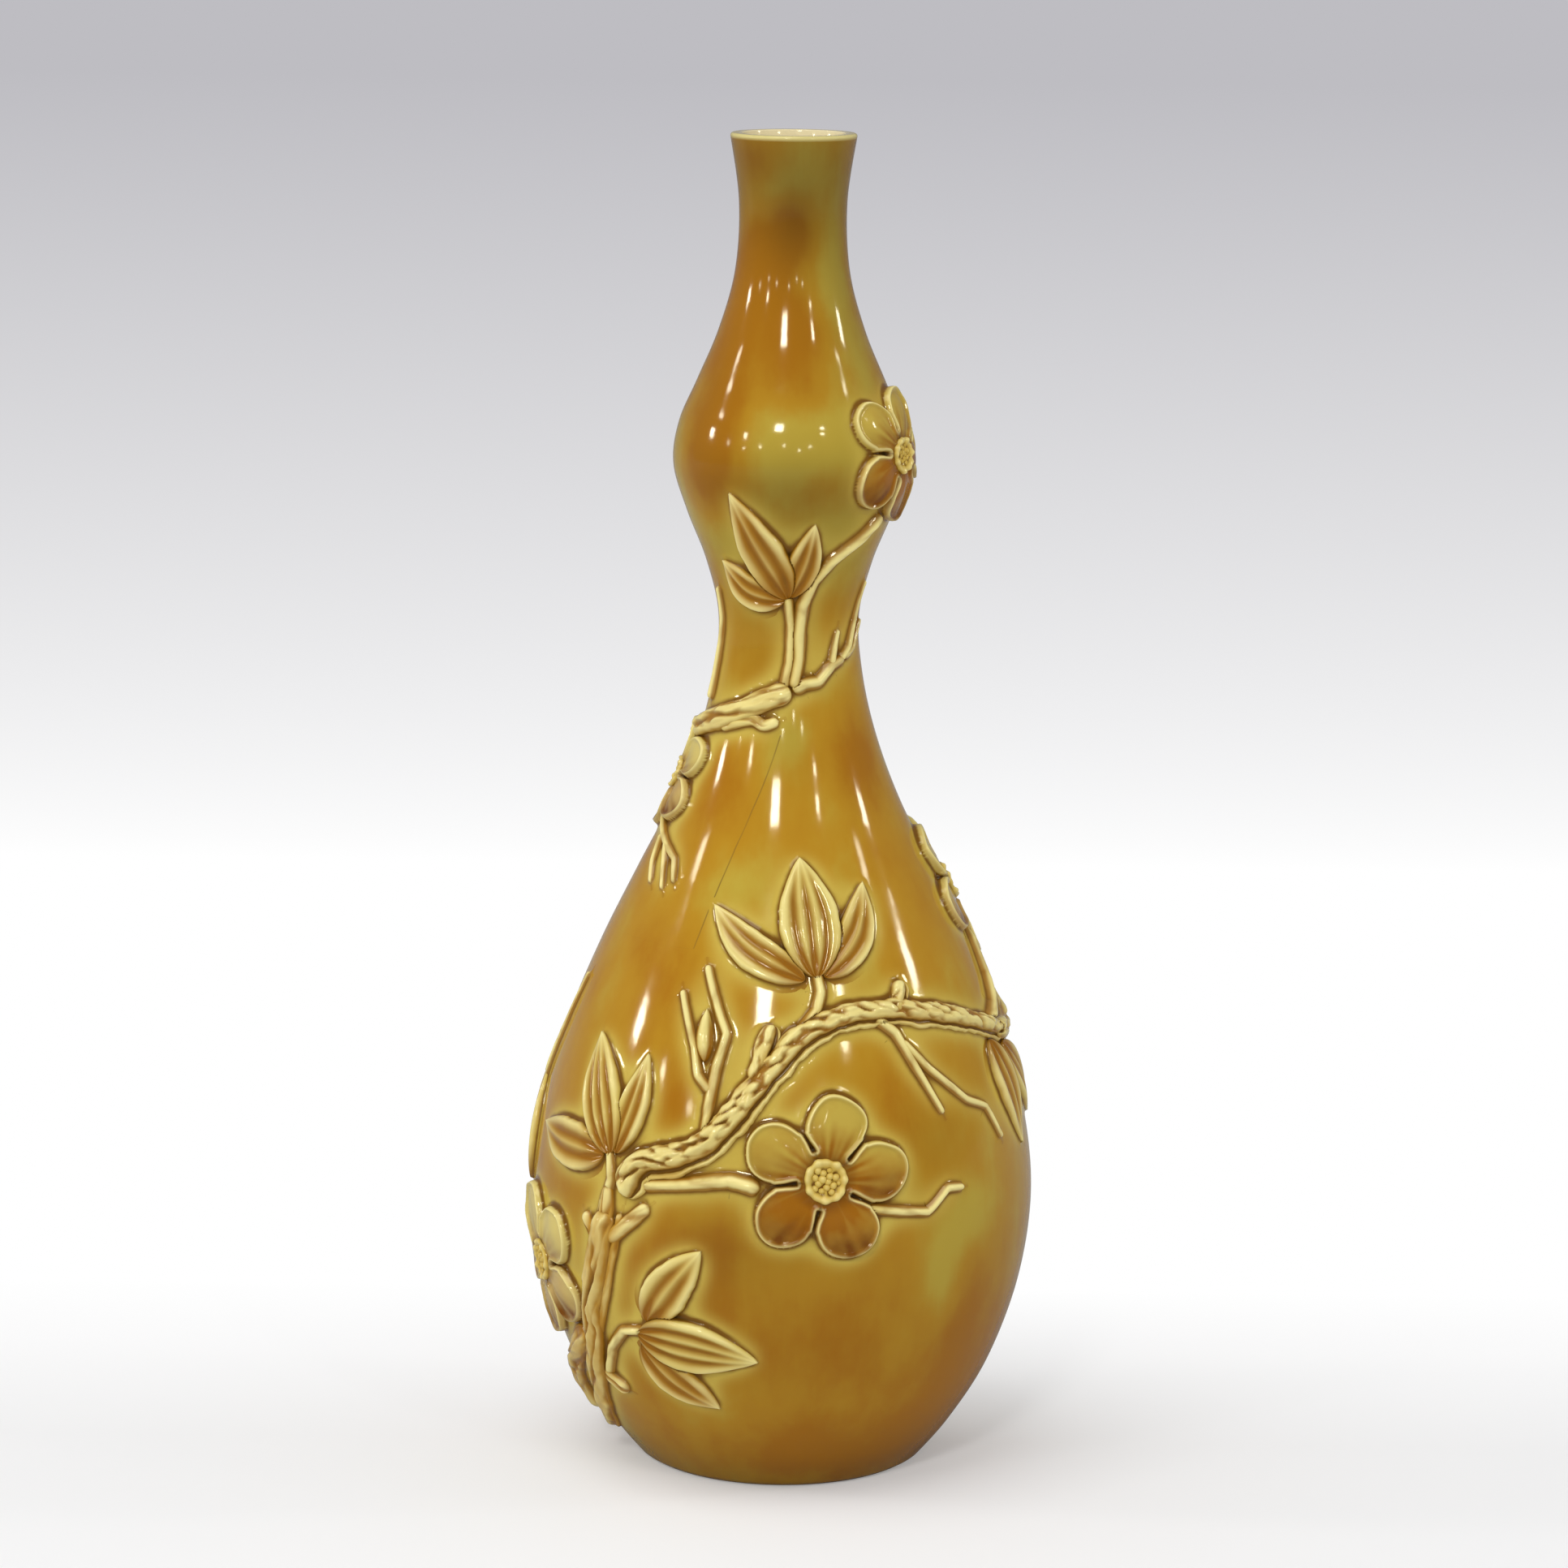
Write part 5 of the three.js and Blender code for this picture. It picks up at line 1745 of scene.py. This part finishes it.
LEAVES = (
    Leaf("twig_bud", (-20.6, 108), (-22, 119.5), 4.6, 0.4, 0.1, 1.0, BUD_STYLE),
    Leaf("shoulder_leaf_left", (-3, 212), (-48, 221), 9, 2.5, 0.9),
    Leaf("shoulder_leaf_right", (1, 213), (14, 231), 8, -0.8, 0.9),
    Leaf("shoulder_leaf_long", (-1, 212.5), (-31, 238), 10.5, 0.8, 1.0, 1.15),
    Leaf("centre_leaf_left", (6, 126.5), (-26.5, 142), 9.5, 1.5, 0.4),
    Leaf("centre_leaf_right", (12, 127), (31, 147), 9.5, -2, 0.5),
    Leaf("centre_leaf_middle", (9.5, 127), (5.6, 153), 14.5, -0.5, 0.1, 1.2, LEAF_STYLE),
    Leaf("left_leaf_right", (-41.5, 84.5), (-37, 108), 8.5, -1, 0.5),
    Leaf("left_leaf_left", (-45, 83.5), (-74, 85), 12, 0.8, 0.6),
    Leaf("left_leaf_middle", (-43, 84), (-56, 110), 13, 0, 0.4, 1.2, LEAF_STYLE),
    Leaf("low_leaf_under", (-35, 39), (-16, 24.5), 11, -1, 0.8),
    Leaf("low_leaf_upper", (-32.5, 45.5), (-18, 65), 11.5, 0.5, 0.3),
    Leaf("low_leaf_middle", (-35.5, 42), (-5.5, 38), 14, 0.5, 0.2, 1.2, LEAF_STYLE),
    Leaf("right_leaf_hanging", (67, 107), (74, 81), 11, 0.8),
    Leaf("right_leaf_trailing", (76, 104.5), (92, 84), 10, 0.8),
    Leaf("edge_leaf_front", (-88, 67), (-91, 96), 11, 0.8),
    Leaf("edge_leaf_back", (-96, 67), (-115, 86), 11, 0.8),
    Leaf("back_leaf_left", (214, 101), (202, 127), 11, 0.8),
    Leaf("back_leaf_right", (219, 98.5), (246, 98), 12, -0.8),
    Leaf("back_leaf_middle", (217, 100), (230, 125), 14, 0, 0.3, 1.2, LEAF_STYLE),
    Leaf("back_shoulder_leaf_left", (182, 213), (140, 222), 9, 2, 0.8),
    Leaf("back_shoulder_leaf_right", (187, 213), (204, 232), 9, -0.8, 0.8),
    Leaf("back_shoulder_leaf_long", (184, 213), (165, 240), 11, 0.8, 0.9, 1.15, LEAF_STYLE),
)
BLOSSOMS = (
    Blossom("front", (9.6, 82.5), 6, 12.7, 7.5, 5.2),
    Blossom("shoulder", (65, 246), -5, 10.8, 6.3, 4.2),
    Blossom("waist", (-89, 167), 36, 9.4, 5.6, 4, 0.4),
    Blossom("right", (102, 139), 51, 12.4, 7.3, 5, 0.3),
    Blossom("low", (-71.5, 51.5), 43, 12.4, 7.3, 5, 0.5),
    Blossom("back", (160, 90), 20, 12.7, 7.5, 5.2),
)


@dataclass
class Prunus:
    """The whole branch in relief, in the order of laying."""

    sprigs: tuple[Branch | Leaf, ...]
    blossoms: tuple[Blossom, ...]

    def laid(self, shop: Workshop) -> list[Relief]:
        """Lay every sprig on the chart and press the lower ones under those laid over them."""
        reliefs = [Relief(sprig.name, sprig.slot, sprig.on_chart(shop), sprig.tint) for sprig in self.sprigs]
        for each in self.blossoms:
            corolla = each.corolla(shop)
            tint, settled = each.glazing(shop.wall, points_of(corolla))
            reliefs.append(Relief(f"{each.name}_blossom", Slot.PETAL, corolla, tint, settled))
        for i, lower in enumerate(reliefs):
            for upper in reliefs[i + 1 :]:
                apart = (lower.box[0] > upper.box[1]) | (upper.box[0] > lower.box[1])
                if not apart[:2].any():
                    lower.tucked(upper)
        reliefs += [Relief(f"{each.name}_stamens", Slot.STAMEN, each.stamens(shop)) for each in self.blossoms]
        return reliefs

    def wrapped(self, shop: Workshop, reliefs: list[Relief], glaze: GlazeMap) -> None:
        """Glaze every sprig and wrap it round the vase."""
        for relief in reliefs:
            x, arc, proud = points_of(relief.mesh).T
            glaze.dress(relief.mesh, x / GIRTH, arc, proud)
            set_fields(relief.mesh, tint=0 * arc + relief.tint, settled=0 * arc + relief.settled)
            values = {"Wall": shop.guide, "Girth": GIRTH, "Material": shop.glazes[relief.slot]}
            shop.placed(relief.name, grown(shop.wrap, relief.mesh, **values), relief.slot, relief.name)


@dataclass(frozen=True)
class Lamp:
    """A soft lamp, by the direction that it shines from and the angles that it fills."""

    name: str
    azimuth: float
    elevation: float
    width: float
    height: float
    radiance: float
    mirrored: bool = True

    @staticmethod
    def span(angle: float, distance: float) -> float:
        """Width that fills an angle at a distance."""
        return 2 * distance * math.tan(math.radians(angle) / 2)

    def hang(self, target: Vector, distance: float) -> None:
        """Hang the lamp so that it faces the target."""
        turn, lift = math.radians(self.azimuth), math.radians(self.elevation)
        way = Vector((math.sin(turn) * math.cos(lift), -math.cos(turn) * math.cos(lift), math.sin(lift)))
        light = bpy.data.lights.new(self.name, "AREA")
        light.shape = "RECTANGLE"
        light.size = self.span(self.width, distance)
        light.size_y = self.span(self.height, distance)
        light.energy = self.radiance * math.pi * light.size * light.size_y
        lamp = bpy.data.objects.new(self.name, light)
        aim = way.to_track_quat("Z", "Y").to_matrix().to_4x4()
        lamp.matrix_world = Matrix.Translation(target + way * distance) @ aim
        lamp.visible_glossy = self.mirrored
        bpy.context.scene.collection.objects.link(lamp)


LAMPS = (
    Lamp("window_front", -13, 33, 7.5, 7.5, 42),
    Lamp("window_left", -89, 16.5, 5, 4.5, 36),
    Lamp("window_left_high", -87, 29, 5, 2.5, 20),
    Lamp("window_right", 89, 22.5, 5, 5, 26),
    Lamp("window_right_high", 75, 32, 4, 2, 18),
    Lamp("lamp_right_high", 35.8, 31.2, 3, 2.4, 42),
    Lamp("lamp_right_low", 34.6, 25.6, 3, 2, 36),
    Lamp("lamp_left", -48, 22, 3, 3.2, 38),
    Lamp("bulb_far_left", -66, 15.9, 2, 1.6, 30),
    Lamp("bulb_left_low", -47.5, 14.6, 2, 1.4, 26),
    Lamp("bulb_left", -31, 17.5, 2, 1.6, 32),
    Lamp("bulb_middle", -6.5, 19.7, 2.2, 1.4, 32),
    Lamp("bulb_low", 8.8, 16, 2, 1.4, 32),
    Lamp("bulb_right", 20, 18.3, 2.2, 1.4, 32),
    Lamp("ceiling", -38, 68, 34, 34, 3.0),
    Lamp("side_left", -100, 12, 36, 36, 0.8, False),
    Lamp("side_right", 100, 12, 36, 36, 1.0, False),
)


@dataclass
class Studio:
    """Pale floor and backdrop, lamps and camera."""

    eye: tuple[float, float, float] = (0.0, -1.1703, 0.3916)
    pitch: float = 10.975
    yaw: float = -0.0343
    roll: float = 0.612
    lens: float = 114.04
    sensor: float = 36.0
    lamp_target: tuple[float, float, float] = (0.0, 0.0, 0.17)
    lamp_distance: float = 4.0
    fill: float = 0.46
    bounce: float = 0.74
    gloss_fill: float = 0.24
    gloss_floor: float = 0.32
    floor_level: float = 0.88
    room_level: float = 0.88
    # Painted shade greys the backdrop from low_white up to top_grey.
    top_grey: Colour = (190, 189, 194)
    low_white: Colour = (255, 255, 255)
    grey_reach: Spot = (0.69, 1.42)
    glow_reach: Spot = (0.0, 0.13)
    glow_share: Spot = (0.2, 1.0)
    mirror_reach: Spot = (0.05, 0.4)
    mirror_share: Spot = (0.0, 0.15)
    half_floor: float = 3.0
    bend_start: float = 0.7
    bend_radius: float = 0.5
    bend_steps: int = 25
    wall_heights: Spot = (1.2, 2.4)

    def camera(self) -> None:
        """Set the camera at the viewing angle."""
        made = bpy.data.cameras.new("camera")
        made.lens = self.lens
        made.sensor_width = self.sensor
        made.sensor_fit = "HORIZONTAL"
        camera = bpy.data.objects.new("camera", made)
        aim = Euler((math.radians(90 - self.pitch), 0, math.radians(-self.yaw)), "XYZ").to_matrix()
        tilt = Matrix.Rotation(math.radians(self.roll), 3, "Z")
        camera.matrix_world = Matrix.Translation(self.eye) @ (aim @ tilt).to_4x4()
        bpy.context.scene.collection.objects.link(camera)
        bpy.context.scene.camera = camera

    def backdrop(self) -> bpy.types.Object:
        """A pale sweep: floor, curve and wall in one sheet."""
        start, radius = self.bend_start, self.bend_radius
        turns = np.linspace(0, math.pi / 2, self.bend_steps)
        bend = [(start + radius * math.sin(turn), radius - radius * math.cos(turn)) for turn in turns]
        back = [(start + radius, height) for height in self.wall_heights]
        line = [(-self.half_floor, 0.0), (-1.0, 0.0), (0.0, 0.0), *bend, *back]
        points = np.array([(x, y, z) for y, z in line for x in (-self.half_floor, self.half_floor)])
        faces = [(2 * i, 2 * i + 1, 2 * i + 3, 2 * i + 2) for i in range(len(line) - 1)]
        mesh = plain_mesh("backdrop", points, faces=faces)
        mesh.shade_smooth()
        mesh.materials.append(self.paper())
        sweep = bpy.data.objects.new("backdrop", mesh)
        bpy.context.scene.collection.objects.link(sweep)
        return sweep

    def paper(self) -> bpy.types.Material:
        """White paper with painted shade that greys it towards the top; it keeps the shadow of the vase."""
        made = bpy.data.materials.new("paper")
        made.use_nodes = True
        sheet = MaterialSheet(made.node_tree)
        made.node_tree.nodes.clear()
        _, depth, height = sheet.parts(sheet.place("ShaderNodeTexCoord").outputs["Object"])
        rise = sheet.total(depth, height)
        # Painted shade: the paper greys towards the top.
        tint = sheet.mixed(sheet.scaled(rise, self.grey_reach), self.low_white, self.top_grey)
        glow = sheet.place("ShaderNodeEmission", {"Color": tint}).outputs[0]
        path = sheet.place("ShaderNodeLightPath").outputs
        seen = sheet.maths("MAXIMUM", path["Is Camera Ray"], path["Is Transmission Ray"])
        soft = sheet.total(self.bounce, sheet.product(path["Is Glossy Ray"], self.gloss_floor - self.bounce))
        shown = sheet.total(soft, sheet.product(seen, sheet.less(self.floor_level, soft)))
        matt = sheet.place("ShaderNodeBsdfDiffuse", {"Color": sheet.dimmed(tint, shown)}).outputs[0]
        far = sheet.scaled(depth, self.glow_reach, self.glow_share)
        behind = sheet.scaled(depth, self.mirror_reach, self.mirror_share)
        bright = sheet.total(sheet.product(seen, far), sheet.product(path["Is Glossy Ray"], behind))
        mixed = sheet.place("ShaderNodeMixShader", {0: bright, 1: matt, 2: glow}).outputs[0]
        sheet.place("ShaderNodeOutputMaterial", {0: mixed})
        return made

    def light(self) -> None:
        """Hang the lamps and fill the room with soft light."""
        for lamp in LAMPS:
            lamp.hang(Vector(self.lamp_target), self.lamp_distance)
        world = bpy.data.worlds.new("room")
        world.use_nodes = True
        sheet = NodeSheet(world.node_tree)
        path = sheet.place("ShaderNodeLightPath").outputs
        mirrored = sheet.product(path["Is Glossy Ray"], self.gloss_fill - self.fill)
        shown = sheet.product(path["Is Camera Ray"], self.room_level - self.fill)
        level = sheet.total(self.fill, mirrored, shown)
        sky = world.node_tree.nodes["Background"]
        sky.inputs["Color"].default_value = (1.0, 1.0, 1.0, 1.0)
        world.node_tree.links.new(level, sky.inputs["Strength"])
        bpy.context.scene.world = world
        bpy.context.scene.view_settings.view_transform = "Standard"


def main() -> None:
    """Build the vase and its studio."""
    logging.basicConfig(level=logging.INFO, format="%(name)s %(message)s")
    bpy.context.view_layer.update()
    studio = Studio()
    studio.camera()
    studio.backdrop()
    studio.light()
    glazes = {finish.slot: finish.material() for finish in FINISHES}
    shop = Workshop(Wall(OUTER_WALL, WALL_THICKNESS), glazes)
    prunus = Prunus((*TWIGS, *BOUGHS, *LEAVES), BLOSSOMS)
    reliefs = prunus.laid(shop)
    LOG.info("%d sprigs laid", len(reliefs))
    glaze = GlazeMap(shop.wall, reliefs)
    prunus.wrapped(shop, reliefs, glaze)
    for gourd in (LowerGourd("lower_gourd", sides=288), UpperGourd("upper_gourd", sides=240)):
        gourd.build(shop, glaze)


if __name__ == "__main__":
    main()
